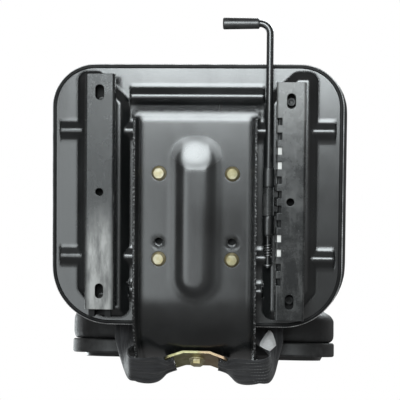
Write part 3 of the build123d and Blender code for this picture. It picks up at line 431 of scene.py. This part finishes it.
# %% Vinyl
GRAIN_CELL = 0.0016
vinyl = Surface("vinyl", Specular_IOR_Level=0.45)
cells = vinyl.node("TexVoronoi", vinyl.place, feature="DISTANCE_TO_EDGE", Scale=1 / GRAIN_CELL)
crease = 1 - cells.step(0.02, 0.14)
patchy = vinyl.noise(0.05, detail=4)
vinyl.feed(
    Base_Color=(patchy.step(0.4, 0.75) * 0.7 + crease * 0.3).colours(grey(0.011), grey(0.02)),
    Roughness=0.4 + patchy * 0.12 + crease * 0.15,
)
vinyl.bump((1 - crease) * 0.3 + vinyl.noise(0.012) * 0.7, distance=0.0003)
print("vinyl grain of", GRAIN_CELL, "m")

# %% [markdown]
# ## Meshes from rings
# Pads, threads and the label are all closed forms between rings of points.
# Blender's primitives have no such shape, so `skin` joins the rings and closes both ends.

# %% Mesh helpers
def outline(width, depth, front, rear, steps=10):
    """Points round a rectangle with its own corner radius at front and rear."""
    corners = [
        (width / 2 - front, -depth / 2 + front, front, -90),
        (width / 2 - rear, depth / 2 - rear, rear, 0),
        (-width / 2 + rear, depth / 2 - rear, rear, 90),
        (-width / 2 + front, -depth / 2 + front, front, 180),
    ]
    points = []
    for x, y, radius, start in corners:
        for k in range(steps + 1):
            turn = radians(start + 90 * k / steps)
            points.append((x + radius * cos(turn), y + radius * sin(turn)))
    return points


def skin(shape, rings):
    """Faces between rings of points, smooth along the sides, and a flat cap at each end."""
    count = len(rings[0])
    for low, high in zip(rings, rings[1:]):
        for k in range(count):
            n = (k + 1) % count
            shape.faces.new((low[k], low[n], high[n], high[k])).smooth = True
    shape.faces.new(list(reversed(rings[0])))
    shape.faces.new(rings[-1])


def new_object(name, mesh_data, surface):
    piece = bpy.data.objects.new(name, mesh_data)
    bpy.context.scene.collection.objects.link(piece)
    piece.data.materials.append(surface.material)
    return piece


def from_bmesh(name, shape, surface):
    """An object from a finished bmesh, which is freed."""
    mesh_data = bpy.data.meshes.new(name)
    shape.to_mesh(mesh_data)
    shape.free()
    return new_object(name, mesh_data, surface)


print("mesh helpers ready")

# %% [markdown]
# ## Blowing up a pad
# A cushion is foam in a sewn cover: full, rounded, and held in by its seams.
# Sculpting would do, but cloth under pressure finds the fullness by itself.
# The pad is a stack of outlines, remeshed to even faces, because cloth needs them, then blown up.
# Foam holds the cover from inside, so points may only move outwards, and only by a few millimetres.

# %% Pad helpers
VOXEL = 0.005
SWELL_CAP = 0.003


def stacked(name, surface, levels):
    """A closed form from outlines, each at its own level, remeshed to even faces."""
    shape = bmesh.new()
    skin(shape, [[shape.verts.new((x, y, z)) for x, y in ring] for z, ring in levels])
    pad = from_bmesh(name, shape, surface)
    even = pad.modifiers.new("even", "REMESH")
    even.mode = "VOXEL"
    even.voxel_size = VOXEL
    graph = bpy.context.evaluated_depsgraph_get()
    remeshed = bpy.data.meshes.new_from_object(pad.evaluated_get(graph))
    pad.modifiers.clear()
    pad.data = remeshed
    return pad


def inflate(pad):
    """Twenty frames of cloth under pressure, of which only the outward moves are kept."""
    rest = [(v.co.copy(), v.normal.copy()) for v in pad.data.vertices]
    cloth = pad.modifiers.new("cloth", "CLOTH")
    cloth.settings.use_pressure = True
    cloth.settings.uniform_pressure_force = 4
    cloth.settings.effector_weights.gravity = 0
    cloth.settings.quality = 5
    for frame_number in range(1, 21):
        bpy.context.scene.frame_set(frame_number)
    graph = bpy.context.evaluated_depsgraph_get()
    blown = [v.co.copy() for v in pad.evaluated_get(graph).data.vertices]
    pad.modifiers.clear()
    bpy.context.scene.frame_set(1)
    for vertex, (start, normal), end in zip(pad.data.vertices, rest, blown):
        move = end - start
        move -= normal * min(move.dot(normal), 0)
        if move.length > SWELL_CAP:
            move *= SWELL_CAP / move.length
        vertex.co = start + move
    print(pad.name, "blown up,", len(rest), "points")


# %% [markdown]
# ## Sewing a pad
# A sewn line pulls the cover down into the foam, and a pad without its seams looks like a pillow.
# The remesh would erase seams made before it, so they are pressed in afterwards.
# A seam runs round a panel on top, and three channels cross the panel and fade out at its border.
# The whole top is also crowned, as foam under a tight cover is.

# %% Sewing helpers
SEAM_WIDTH = 0.005
CHANNEL_FADE = 0.01


def groove(distance, depth):
    return depth * EULER ** (-((distance / SEAM_WIDTH) ** 2))


def inside(point, centre, half_x, half_y, corner):
    """How far a point is inside a rounded rectangle; negative outside it."""
    dx = abs(point.x - centre.x) - half_x + corner
    dy = abs(point.y - centre.y) - half_y + corner
    outside = Vector((max(dx, 0), max(dy, 0))).length + min(max(dx, dy), 0)
    return corner - outside


def crown(point, centre, radius, mid_level, top_level):
    """How far a crowned top has dropped at a point; nothing at the sides' middle."""
    share = min(max((point.z - mid_level) / (top_level - mid_level), 0), 1)
    return share * ((point.x - centre.x) ** 2 + (point.y - centre.y) ** 2) / (2 * radius)


def sew(pad, low, high, bow, bow_levels, seam_level, border, corner, seam, channel, spacing):
    """Presses the crown, the seam and the channels into a pad and keeps it inside its box."""
    centre, half = (low + high) / 2, (high - low) / 2
    for vertex in pad.data.vertices:
        p = vertex.co
        p.z -= crown(p, centre, bow, *bow_levels)
        if p.z > seam_level:
            panel = inside(p, centre, half.x - border, half.y - border, corner)
            p.z -= groove(panel, seam)
            if panel > 0:
                nearest = min(abs(p.y - centre.y - k * spacing) for k in (-1, 0, 1))
                p.z -= groove(nearest, channel) * min(panel / CHANNEL_FADE, 1)
        for axis in range(3):
            p[axis] = min(max(p[axis], low[axis]), high[axis])


def finish_pad(piece, node):
    for face in piece.data.polygons:
        face.use_smooth = True
    smooth = piece.modifiers.new("smooth", "SUBSURF")
    smooth.levels = smooth.render_levels = 1
    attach(piece, "seat")
    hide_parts(node)


print("pad helpers ready")

# %% [markdown]
# ## The seat cushion
# A thick pad on the pan, rounder at its two rear corners, with a full edge and a sewn top.
# It starts a little smaller than its CAD solid, because it swells, and is then clamped to that box.
# Each line of `SEAT_FORM` is a level above the pan and how far the outline is drawn in there.
# From below, the cushion shows past the edge strip on the lever's side only, hence the side shift.

# %% Seat cushion
SEAT_FORM = (
    (0.0, 0.006),
    (0.003, 0.0025),
    (0.008, 0.0005),
    (0.045, 0.0005),
    (0.054, 0.0045),
    (0.061, 0.0125),
    (0.0655, 0.024),
)
SEAT_FRONT, SEAT_REAR = 0.069, 0.091
NARROWER, SHORTER, SIDE_SHIFT = 0.004, 0.010, 0.002
TOP_ROOM = 0.0004
low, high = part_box("seat_cushion")
size = high - low
middle = (low + high) / 2
levels = []
for level, inset in SEAT_FORM:
    ring = outline(
        size.x - NARROWER - 2 * inset,
        size.y - SHORTER - 2 * inset,
        SEAT_FRONT - inset,
        SEAT_REAR - inset,
    )
    levels.append((low.z + level, [(x + middle.x + SIDE_SHIFT, y + middle.y) for x, y in ring]))
cushion = stacked("seat_cushion_pad", vinyl, levels)
inflate(cushion)
sew(
    cushion,
    low,
    high - Vector((0, 0, TOP_ROOM)),
    bow=4.5,
    bow_levels=(low.z + 0.03, high.z - 0.008),
    seam_level=low.z + 0.045,
    border=0.055,
    corner=0.05,
    seam=0.0035,
    channel=0.003,
    spacing=0.078,
)
finish_pad(cushion, "seat_cushion")

# %% [markdown]
# ## The backrest cushion
# A thinner pad of the same make on the backrest's shell.
# Its seams would be awkward to work out on a leaning pad.
# So it is drawn and sewn lying flat in the backrest's own frame, and stood up at the end.

# %% Backrest cushion
BACK_FORM = (
    (0.0, 0.006),
    (0.003, 0.002),
    (0.008, 0.0004),
    (0.038, 0.0004),
    (0.047, 0.0045),
    (0.053, 0.011),
    (0.0565, 0.02),
)
BACK_WIDTH, BACK_HEIGHT, BACK_CORNER = 0.422, 0.290, 0.065
BACK_MIDDLE, BACK_LOW, BACK_THICK = 0.162, 0.0283, 0.0596
levels = []
for level, inset in BACK_FORM:
    corner = BACK_CORNER - inset
    ring = outline(BACK_WIDTH - 2 * inset, BACK_HEIGHT - 2 * inset, corner, corner)
    levels.append((BACK_LOW + level, [(x, y + BACK_MIDDLE) for x, y in ring]))
back = stacked("back_cushion_pad", vinyl, levels)
inflate(back)
sew(
    back,
    Vector((-BACK_WIDTH / 2, BACK_MIDDLE - BACK_HEIGHT / 2, BACK_LOW)),
    Vector((BACK_WIDTH / 2, BACK_MIDDLE + BACK_HEIGHT / 2, BACK_LOW + BACK_THICK)),
    bow=3.5,
    bow_levels=(BACK_LOW + 0.03, BACK_LOW + 0.054),
    seam_level=BACK_LOW + 0.04,
    border=0.05,
    corner=0.04,
    seam=0.003,
    channel=0.0025,
    spacing=0.062,
)
back.data.transform(BACK_FRAME)
finish_pad(back, "back_cushion")

# %% [markdown]
# ## The backrest's rim
# The edge strip wraps round the back of the rim as a deep band.
# A band swept along the outline would have to be fitted to the shell again.
# A copy of the CAD strip already fits, so only its rear half is drawn further back.

# %% Backrest rim
RIM_DRAW = 0.008
rim_mesh = nodes["back_edge_trim"].data.copy()
rim_mesh.materials.clear()
rim_mesh.transform(BACK_FRAME.inverted() @ nodes["back_edge_trim"].matrix_world)
heights = [v.co.z for v in rim_mesh.vertices]
rim_middle = (min(heights) + max(heights)) / 2
for vertex in rim_mesh.vertices:
    if vertex.co.z < rim_middle:
        vertex.co.z -= RIM_DRAW
rim_mesh.transform(BACK_FRAME)
rim = new_object("back_rim_band", rim_mesh, back_trim)
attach(rim, "seat")
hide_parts("back_edge_trim")
print("rim from", round(min(heights) - RIM_DRAW, 4), "to", round(max(heights), 4))

# %% [markdown]
# ## Webbing
# Belt webbing is woven: ribs of warp run along the strap, and weft rows cross them.
# A picture of cloth would stretch where the strap twists, so the weave uses the strap's UV map.
# There `u` runs across the strap and `v` along it, in metres.
# Ribs and rows are two sine waves, with every second rib half a row out of step.
# Noise stretched along the strap adds the soft creases of worn webbing.
# Ribs, rows and creases also lighten the colour on their crests and darken it in their hollows:
# painted shade and painted highlight, bluish at the light end.

# %% Webbing material
RIB_COUNT = 22
ROW_PITCH = 0.0024
webbing = Surface("webbing", Specular_IOR_Level=0.4, Sheen_Weight=0.15, Sheen_Roughness=0.5)
uv = webbing.node("TexCoord", out="UV")
across = webbing.node("SeparateXYZ", uv, out="X")
lengthwise = webbing.node("SeparateXYZ", uv, out="Y")
ribs = across * RIB_COUNT
odd = ribs.maths("MODULO", 2.0) > 1.0
warp = (ribs * (2 * pi)).maths("SINE")
weft = (lengthwise * (2 * pi / ROW_PITCH) + odd * pi).maths("SINE")
relief = warp * 0.22 + weft * 0.28 + 0.5
wool = webbing.noise(0.015, detail=4)
creased = webbing.node("Mapping", uv, Scale=(9, 16, 1))
folds = webbing.node("TexNoise", creased, Scale=1.0, Detail=4.0).step(0.35, 0.7)
# Painted shade and highlight: relief and folds make crests lighter and hollows darker; wool is
# random tone.
wool_tone_and_painted_shade = relief * 0.3 + wool * 0.2 + folds * 0.5
webbing.feed(
    Base_Color=wool_tone_and_painted_shade.colours(grey(0.003), grey(0.034, (1, 1, 1.1))),
    Roughness=0.45 + wool * 0.25,
)
webbing.bump(relief * 0.3 + folds * 0.7, distance=0.0012)
print(RIB_COUNT, "ribs across the webbing")

# %% [markdown]
# ## The strap's route
# Each half of the belt is looped round the anchor's bar, turns up behind the pan
# and lies on the cushion. Cloth simulation would erase so thin a strap, so its route is listed.
# A line of `BELT_ROUTE` is a point of the CAD strap's middle and its direction across.
# `BELT_TAIL` starts the strap on the bar, and `BELT_SPREAD` moves the left half a little outwards.

# %% Strap route
BELT_TAIL = ((-0.009, 0.0062), (0.003, 0.0064))
BELT_ROUTE = [
    ((0.060, 0.2625, 0.0665), (0, 0.88, 0.47)),
    ((0.0829, 0.2590, 0.050), (0, 0.84, 0.54)),
    ((0.0979, 0.2565, 0.051), (0, 0.9, 0.43)),
    ((0.1059, 0.249, 0.074), (0.2, 0.85, 0.48)),
    ((0.1059, 0.233, 0.093), (0.75, 0.5, 0.43)),
    ((0.1059, 0.214, 0.106), (1, 0, 0)),
    ((0.1059, 0.194, 0.113), (1, 0, 0)),
    ((0.1059, 0.170, 0.11133), (1, 0, 0)),
    ((0.1059, 0.100, 0.11343), (1, 0, 0)),
    ((0.1059, 0.030, 0.11443), (1, 0, 0)),
]
BELT_SPREAD = {1: (0, 0.004, 0.008, 0.006, 0.002), -1: ()}
BAR_TURN, BAR_WING = radians(60), radians(20)
BAR_OFF_BEND, BAR_TO_SIDE = 0.01051, 0.04303


def bar_frame(side):
    """The middle of the anchor's bar on one side, with the directions along, away and across."""
    out = Vector((0, sin(BAR_TURN), -cos(BAR_TURN)))
    along = Vector((side * cos(BAR_WING), 0, 0)) + out * sin(BAR_WING)
    up = out * cos(BAR_WING) - Vector((side * sin(BAR_WING), 0, 0))
    middle = BEND_CENTRE + out * (BEND_RADIUS + BAR_OFF_BEND) + Vector((side * BAR_TO_SIDE, 0, 0))
    return middle, along, up, Vector((0, cos(BAR_TURN), sin(BAR_TURN)))


print(len(BELT_TAIL) + len(BELT_ROUTE), "points along each strap")

# %% [markdown]
# ## A smooth strap
# Straight runs between the points would kink. A smooth curve through them bends and twists evenly.
# Every row of the strap is a centre, a direction across and a direction out of its face.
# The loop round the bar is a closed line of the same rows.

# %% Strap lines
LOOP_LENGTH, LOOP_HEIGHT, LOOP_CORNER = 0.0102, 0.0072, 0.0020


def between(values, k, t):
    """A point on the smooth curve through a list of vectors."""
    a, b, c, d = (values[min(max(k + j, 0), len(values) - 1)] for j in (-1, 0, 1, 2))
    square = 2 * a - 5 * b + 4 * c - d
    cube = 3 * (b - c) + d - a
    return 0.5 * (2 * b + (c - a) * t + square * t**2 + cube * t**3)


def strap_line(side, steps=9):
    """Centre, across and normal directions along one half of the belt."""
    flip = Matrix.Diagonal((side, 1, 1))
    middle, along, up, width = bar_frame(side)
    centres = [middle + along * x + up * y for x, y in BELT_TAIL]
    centres += [flip @ Vector(c) + SHIFT for c, a in BELT_ROUTE]
    for k, spread in enumerate(BELT_SPREAD[side]):
        centres[len(BELT_TAIL) + k].x += side * spread
    widths = [width] * len(BELT_TAIL) + [flip @ Vector(a) for c, a in BELT_ROUTE]
    line = []
    for k in range(len(centres) - 1):
        for j in range(steps):
            line.append((between(centres, k, j / steps), between(widths, k, j / steps)))
    line.append((centres[-1], widths[-1]))
    rows = []
    for k, (centre, width) in enumerate(line):
        travel = line[min(k + 1, len(line) - 1)][0] - line[max(k - 1, 0)][0]
        travel.normalize()
        width = (width - travel * width.dot(travel)).normalized()
        rows.append((centre, width, travel.cross(width)))
    return rows


def loop_line(side, steps=6):
    """The closed loop of webbing round the anchor's bar."""
    middle, along, up, width = bar_frame(side)
    ring = outline(LOOP_LENGTH, LOOP_HEIGHT, LOOP_CORNER, LOOP_CORNER, steps)
    centres = [middle + along * x + up * y for x, y in ring]
    rows = []
    for k, centre in enumerate(centres):
        travel = centres[(k + 1) % len(centres)] - centres[k - 1]
        rows.append((centre, width, travel.normalized().cross(width)))
    return rows


print("strap lines ready")

# %% [markdown]
# ## From rows to webbing
# Webbing has two faces and a thin selvedge, so each row becomes a flat ring of points.
# A plane with a Solidify modifier would also be thick, but its UV map would not wrap the edge.
# Near the anchor the strap is gathered, so shallow folds run along it there and fade out.

# %% Weaving helper
BELT_WIDTH = 0.046
BELT_THICK = 0.002
SELVEDGE = 0.45
FOLD_HEIGHT, FOLD_COUNT, FOLD_DRIFT, FOLD_ROWS = 0.0016, 2.2, 0.06, 26


def weave_rows(shape, uv_layer, rows, closed, columns=18):
    """Adds a strip of webbing to a bmesh and gives its length."""
    half, edge = BELT_WIDTH / 2, BELT_THICK / 2
    profile = [(-half + BELT_WIDTH * k / columns, 1) for k in range(columns + 1)]
    profile += [(x, -1) for x, face in reversed(profile)]
    rings, run, at = [], [], 0.0
    for k, (centre, width, normal) in enumerate(rows):
        if k:
            at += (centre - rows[k - 1][0]).length
        run.append(at)
        fold = 0 if closed else FOLD_HEIGHT * EULER ** (-((k / FOLD_ROWS) ** 2))
        ring = []
        for x, face in profile:
            thin = SELVEDGE if abs(x) > half * 0.99 else 1.0
            wave = sin(2 * pi * FOLD_COUNT * x / BELT_WIDTH + FOLD_DRIFT * k)
            lift = fold * wave + face * edge * thin
            ring.append(shape.verts.new(centre + width * x + normal * lift))
        rings.append(ring)
    total = at + ((rows[0][0] - rows[-1][0]).length if closed else 0)
    count = len(profile)
    pairs = [(k, k + 1) for k in range(len(rings) - 1)]
    if closed:
        pairs.append((len(rings) - 1, 0))
    for a, b in pairs:
        end = run[b] if b else total
        for k in range(count):
            n = (k + 1) % count
            face = shape.faces.new((rings[a][k], rings[a][n], rings[b][n], rings[b][k]))
            face.smooth = True
            for corner, (x, v) in zip(face.loops, ((k, run[a]), (n, run[a]), (n, end), (k, end))):
                corner[uv_layer].uv = (profile[x][0] / BELT_WIDTH + 0.5, v)
    if not closed:
        shape.faces.new(list(reversed(rings[0])))
        shape.faces.new(rings[-1])
    return total


print("weaving helper ready")

# %% [markdown]
# ## The lap belt
# Each half is one strap: a loop sewn round the anchor's bar and the run up onto the cushion.
# Both are woven into one mesh, so that the half is one piece, as it is when it is cut and sewn.

# %% Lap belt
belts = {}
for side, node in ((1, "left_belt"), (-1, "right_belt")):
    shape = bmesh.new()
    uv_layer = shape.loops.layers.uv.new("weave")
    length = weave_rows(shape, uv_layer, strap_line(side), closed=False)
    length += weave_rows(shape, uv_layer, loop_line(side), closed=True)
    bmesh.ops.recalc_face_normals(shape, faces=shape.faces)
    belt = from_bmesh(node + "_webbing", shape, webbing)
    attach(belt, "seat")
    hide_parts(node)
    belts[node] = length
print({name: round(length, 3) for name, length in belts.items()})

# %% [markdown]
# ## Stitches
# A stitch is a short thread that dips into the cloth at both ends.
# A bump line would vanish from the side, and one object a stitch would be hundreds.
# So a seam is one mesh of many small round-ended threads, laid along a path.

# %% Stitch helper
STITCH_FORM = ((-0.5, 0.45), (-0.36, 1), (0.36, 1), (0.5, 0.45))
STITCH_SIDES = 6


def stitches(name, path, length, gap, radius, surface, closed=True):
    """Threads laid along a path of points."""
    points = path + path[:1] if closed else path
    shape = bmesh.new()
    at, next_at = 0.0, gap
    for a, b in zip(points, points[1:]):
        span = (b - a).length
        while next_at < at + span:
            centre = a.lerp(b, (next_at - at) / span)
            travel = (b - a).normalized()
            side = travel.orthogonal().normalized()
            up = travel.cross(side)
            rings = []
            for u, wide in STITCH_FORM:
                ring = []
                for k in range(STITCH_SIDES):
                    turn = 2 * pi * k / STITCH_SIDES
                    offset = (side * cos(turn) + up * sin(turn)) * radius * wide
                    ring.append(shape.verts.new(centre + travel * (u * length) + offset))
                rings.append(ring)
            skin(shape, rings)
            next_at += length + gap
        at += span
    piece = from_bmesh(name, shape, surface)
    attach(piece, "seat")
    return piece


print("stitch helper ready")

# %% [markdown]
# ## Two seams
# The stitches are a real seam, but their pale colour is a painted highlight for the bright line the
# cushion's edge catches.
# A pale row of stitches runs round the pan just outside its edge strip.
# Dark rows run to and fro along the left strap, where it is sewn together.

# %% Seams
# Painted highlight: the pale thread colour lights the pan's edge seam; the dark thread is the
# strap's own colour.
thread = plastic("thread", grey(0.3), grey(0.7), rough=0.5, grain=0.0006, relief=0.0001)
dark_thread = plastic("dark_thread", grey(0.06), grey(0.16), 0.6, grain=0.0006, relief=0.0001)
PAN_WIDTH, PAN_DEPTH, PAN_FRONT, PAN_REAR = 0.418, 0.375, 0.060, 0.082
SEAM_OUT, SEAM_Z = 0.0028, 0.0428
ring = outline(
    PAN_WIDTH + 2 * SEAM_OUT,
    PAN_DEPTH + 2 * SEAM_OUT,
    PAN_FRONT + SEAM_OUT,
    PAN_REAR + SEAM_OUT,
    steps=24,
)
edge_path = [Vector((x, y, SEAM_Z)) + SHIFT for x, y in ring]
edge_seam_highlight = stitches("edge_stitching_highlight", edge_path, 0.0030, gap=0.0005, radius=0.0008, surface=thread)

SEWN_ROWS, SEWN_LINES = range(25, 42), 7
SEWN_START, SEWN_PITCH, SEWN_LIFT = -0.018, 0.006, 0.0012
rows = strap_line(1)
sewn = []
for line in range(SEWN_LINES):
    place = SEWN_START + SEWN_PITCH * line
    run = [rows[k][0] + rows[k][1] * place - rows[k][2] * SEWN_LIFT for k in SEWN_ROWS]
    sewn += run if line % 2 == 0 else run[::-1]
belt_seam = stitches("belt_stitching", sewn, 0.0028, 0.0014, 0.0004, dark_thread, closed=False)
print(len(edge_path), "points round the pan,", SEWN_LINES, "sewn lines on the strap")

# %% [markdown]
# ## The blank label
# A white woven label is sewn aslant to the strap behind the pan. It carries no text.
# A flat card would cut through the strap where it turns, so the label follows the strap's rows.
# Its corners are given as a row of the strap and a place across it.

# %% Label
LABEL_ROWS = range(45, 67)
LABEL_LEFT = ((45, -0.0222), (53, -0.0222), (66, 0.0005))
LABEL_RIGHT = ((45, -0.0212), (57, 0.012), (64, 0.0075), (66, 0.004))
LABEL_INNER, LABEL_OUTER = 0.0013, 0.0018
tag_cloth = plastic("label_cloth", grey(0.82), grey(0.95), rough=0.7, grain=0.0008, relief=0.0002)


def along_edge(corners, row):
    """Where a straight-sided edge lies in a row."""
    for (a, x), (b, y) in zip(corners, corners[1:]):
        if row <= b:
            return x + (y - x) * (row - a) / (b - a)


shape = bmesh.new()
rings, label_length, label_area = [], 0.0, 0.0
for k in LABEL_ROWS:
    centre, width, normal = rows[k]
    left, right = along_edge(LABEL_LEFT, k), along_edge(LABEL_RIGHT, k)
    run = (centre - rows[k - 1][0]).length if k > LABEL_ROWS[0] else 0.0
    label_length += run
    label_area += run * (right - left)
    corners = [(left, LABEL_INNER), (right, LABEL_INNER), (right, LABEL_OUTER), (left, LABEL_OUTER)]
    rings.append([shape.verts.new(centre + width * x - normal * out) for x, out in corners])
skin(shape, rings)
bmesh.ops.recalc_face_normals(shape, faces=shape.faces)
label = from_bmesh("belt_label", shape, tag_cloth)
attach(label, "seat")
print("label", round(label_length, 3), "m along the strap,", round(label_area * 1e6), "mm2")

# %% [markdown]
# ## The floor
# The seat stands on a pale floor, which the camera looks up through from below.
# Hiding the floor would lose its shadow in the views from above.
# So it shows its upper side to the camera only, and lets all other light through.

# %% Floor
FLOOR_HALF = 12
floor_mesh = bpy.data.meshes.new("floor")
square = [(-1, -1), (1, -1), (1, 1), (-1, 1)]
corners = [(FLOOR_HALF * x, FLOOR_HALF * y, 0) for x, y in square]
floor_mesh.from_pydata(corners, [], [(0, 1, 2, 3)])
floor_surface = Surface("floor", Base_Color=grey(0.8), Roughness=0.6)
floor = new_object("floor", floor_mesh, floor_surface)
clear = floor_surface.node("BsdfTransparent")
from_camera = floor_surface.node("LightPath", out="Is Camera Ray")
from_below = floor_surface.node("NewGeometry", out="Backfacing")
shown = from_camera * (1 - from_below)
solid = Wire(floor_surface.tree, floor_surface.shader.outputs[0])
blend = floor_surface.node("MixShader", shown, clear, solid)
output = floor_surface.tree.nodes["Material Output"]
floor_surface.tree.links.new(blend.socket, output.inputs["Surface"])
print("floor", 2 * FLOOR_HALF, "m across")

# %% [markdown]
# ## The background
# The background is plain white. Lighting the seat until it clips would spoil its black paint.
# So only rays from the camera see full white, and what the paint mirrors is a dimmer room:
# pale walls, darker behind the seat, a dim ceiling, and a little light from below.

# %% World
WALL_GLOW, FLOOR_GLOW, ROOM_GLOW, CEILING_LOSS, DIFFUSE_GLOW = 0.3, 0.12, 0.14, 0.08, 0.4
world = bpy.data.worlds.new("white")
world.use_nodes = True
bpy.context.scene.world = world
sky = Wire(world.node_tree, None)
seen = sky.node("LightPath", out="Is Camera Ray")
mirrored = sky.node("LightPath", out="Is Glossy Ray")
soft = sky.node("LightPath", out="Is Diffuse Ray")
direction = sky.node("TexCoord", out="Generated")
height = sky.node("SeparateXYZ", direction, out="Z")
behind = sky.node("SeparateXYZ", direction, out="Y").step(0.1, 0.6)
ceiling = height.step(0.7, 0.95)
low_down = 1 - height.step(-0.9, -0.4)
walls = height.step(0.1, 0.4) * (1 - ceiling) * (1 - behind * 0.8)
room = walls * WALL_GLOW + low_down * FLOOR_GLOW + ROOM_GLOW - ceiling * CEILING_LOSS
white = seen + mirrored * room + soft * DIFFUSE_GLOW
tone = white.colours(grey(0.0), grey(1.0))
world.node_tree.links.new(tone.socket, world.node_tree.nodes["Background"].inputs["Color"])
bpy.context.scene.view_settings.view_transform = "Standard"
print("white background")


# %% [markdown]
# ## The lamps
# Studio light on black paint is mostly a matter of what the paint mirrors.
# Small lamps would show as hard spots, so all four are large soft boxes.
# The two below light the underside for the main picture, and the two above light the cushions.

# %% Lamps
def softbox(name, place, target, width, height, power):
    light = bpy.data.lights.new(name, "AREA")
    light.shape = "RECTANGLE"
    light.size, light.size_y, light.energy = width, height, power
    light.color = COOL
    lamp = bpy.data.objects.new(name, light)
    bpy.context.scene.collection.objects.link(lamp)
    lamp.location = place
    lamp.rotation_euler = (Vector(target) - Vector(place)).to_track_quat("-Z", "Y").to_euler()
    print(name, power, "W")


softbox("left_below", (-0.55, 0.2, -1.5), (-0.1, 0, 0.03), width=0.8, height=0.75, power=4.2)
softbox("front_below", (0.0, -0.64, -1.5), (0, -0.1, 0.03), width=0.9, height=0.8, power=27)
softbox("top_key", (0.7, -1.2, 2.0), (0, 0, 0.1), width=1.2, height=1.2, power=45)
softbox("top_fill", (-1.4, 0.6, 1.6), (0, 0, 0.1), width=1.2, height=1.2, power=20)

# %% [markdown]
# ## Camera
# The picture was taken from below, square on and a little to the lever's side.
# Turning a camera by eye gets close, but the last degree shows in every hole and slot.
# So lens, place and turn were fitted to the measured places of bolts, slots and edges.

# %% Camera
camera_data = bpy.data.cameras.new("camera")
camera_data.lens = 95.58
camera_data.sensor_width = 36
camera = bpy.data.objects.new("camera", camera_data)
camera.location = (0.1171, -0.094416, -1.5)
camera.rotation_euler = (3.095516, -0.07278, -0.008203)
bpy.context.scene.collection.objects.link(camera)
bpy.context.scene.camera = camera
print("camera", round(camera.location.length, 2), "m from the origin")
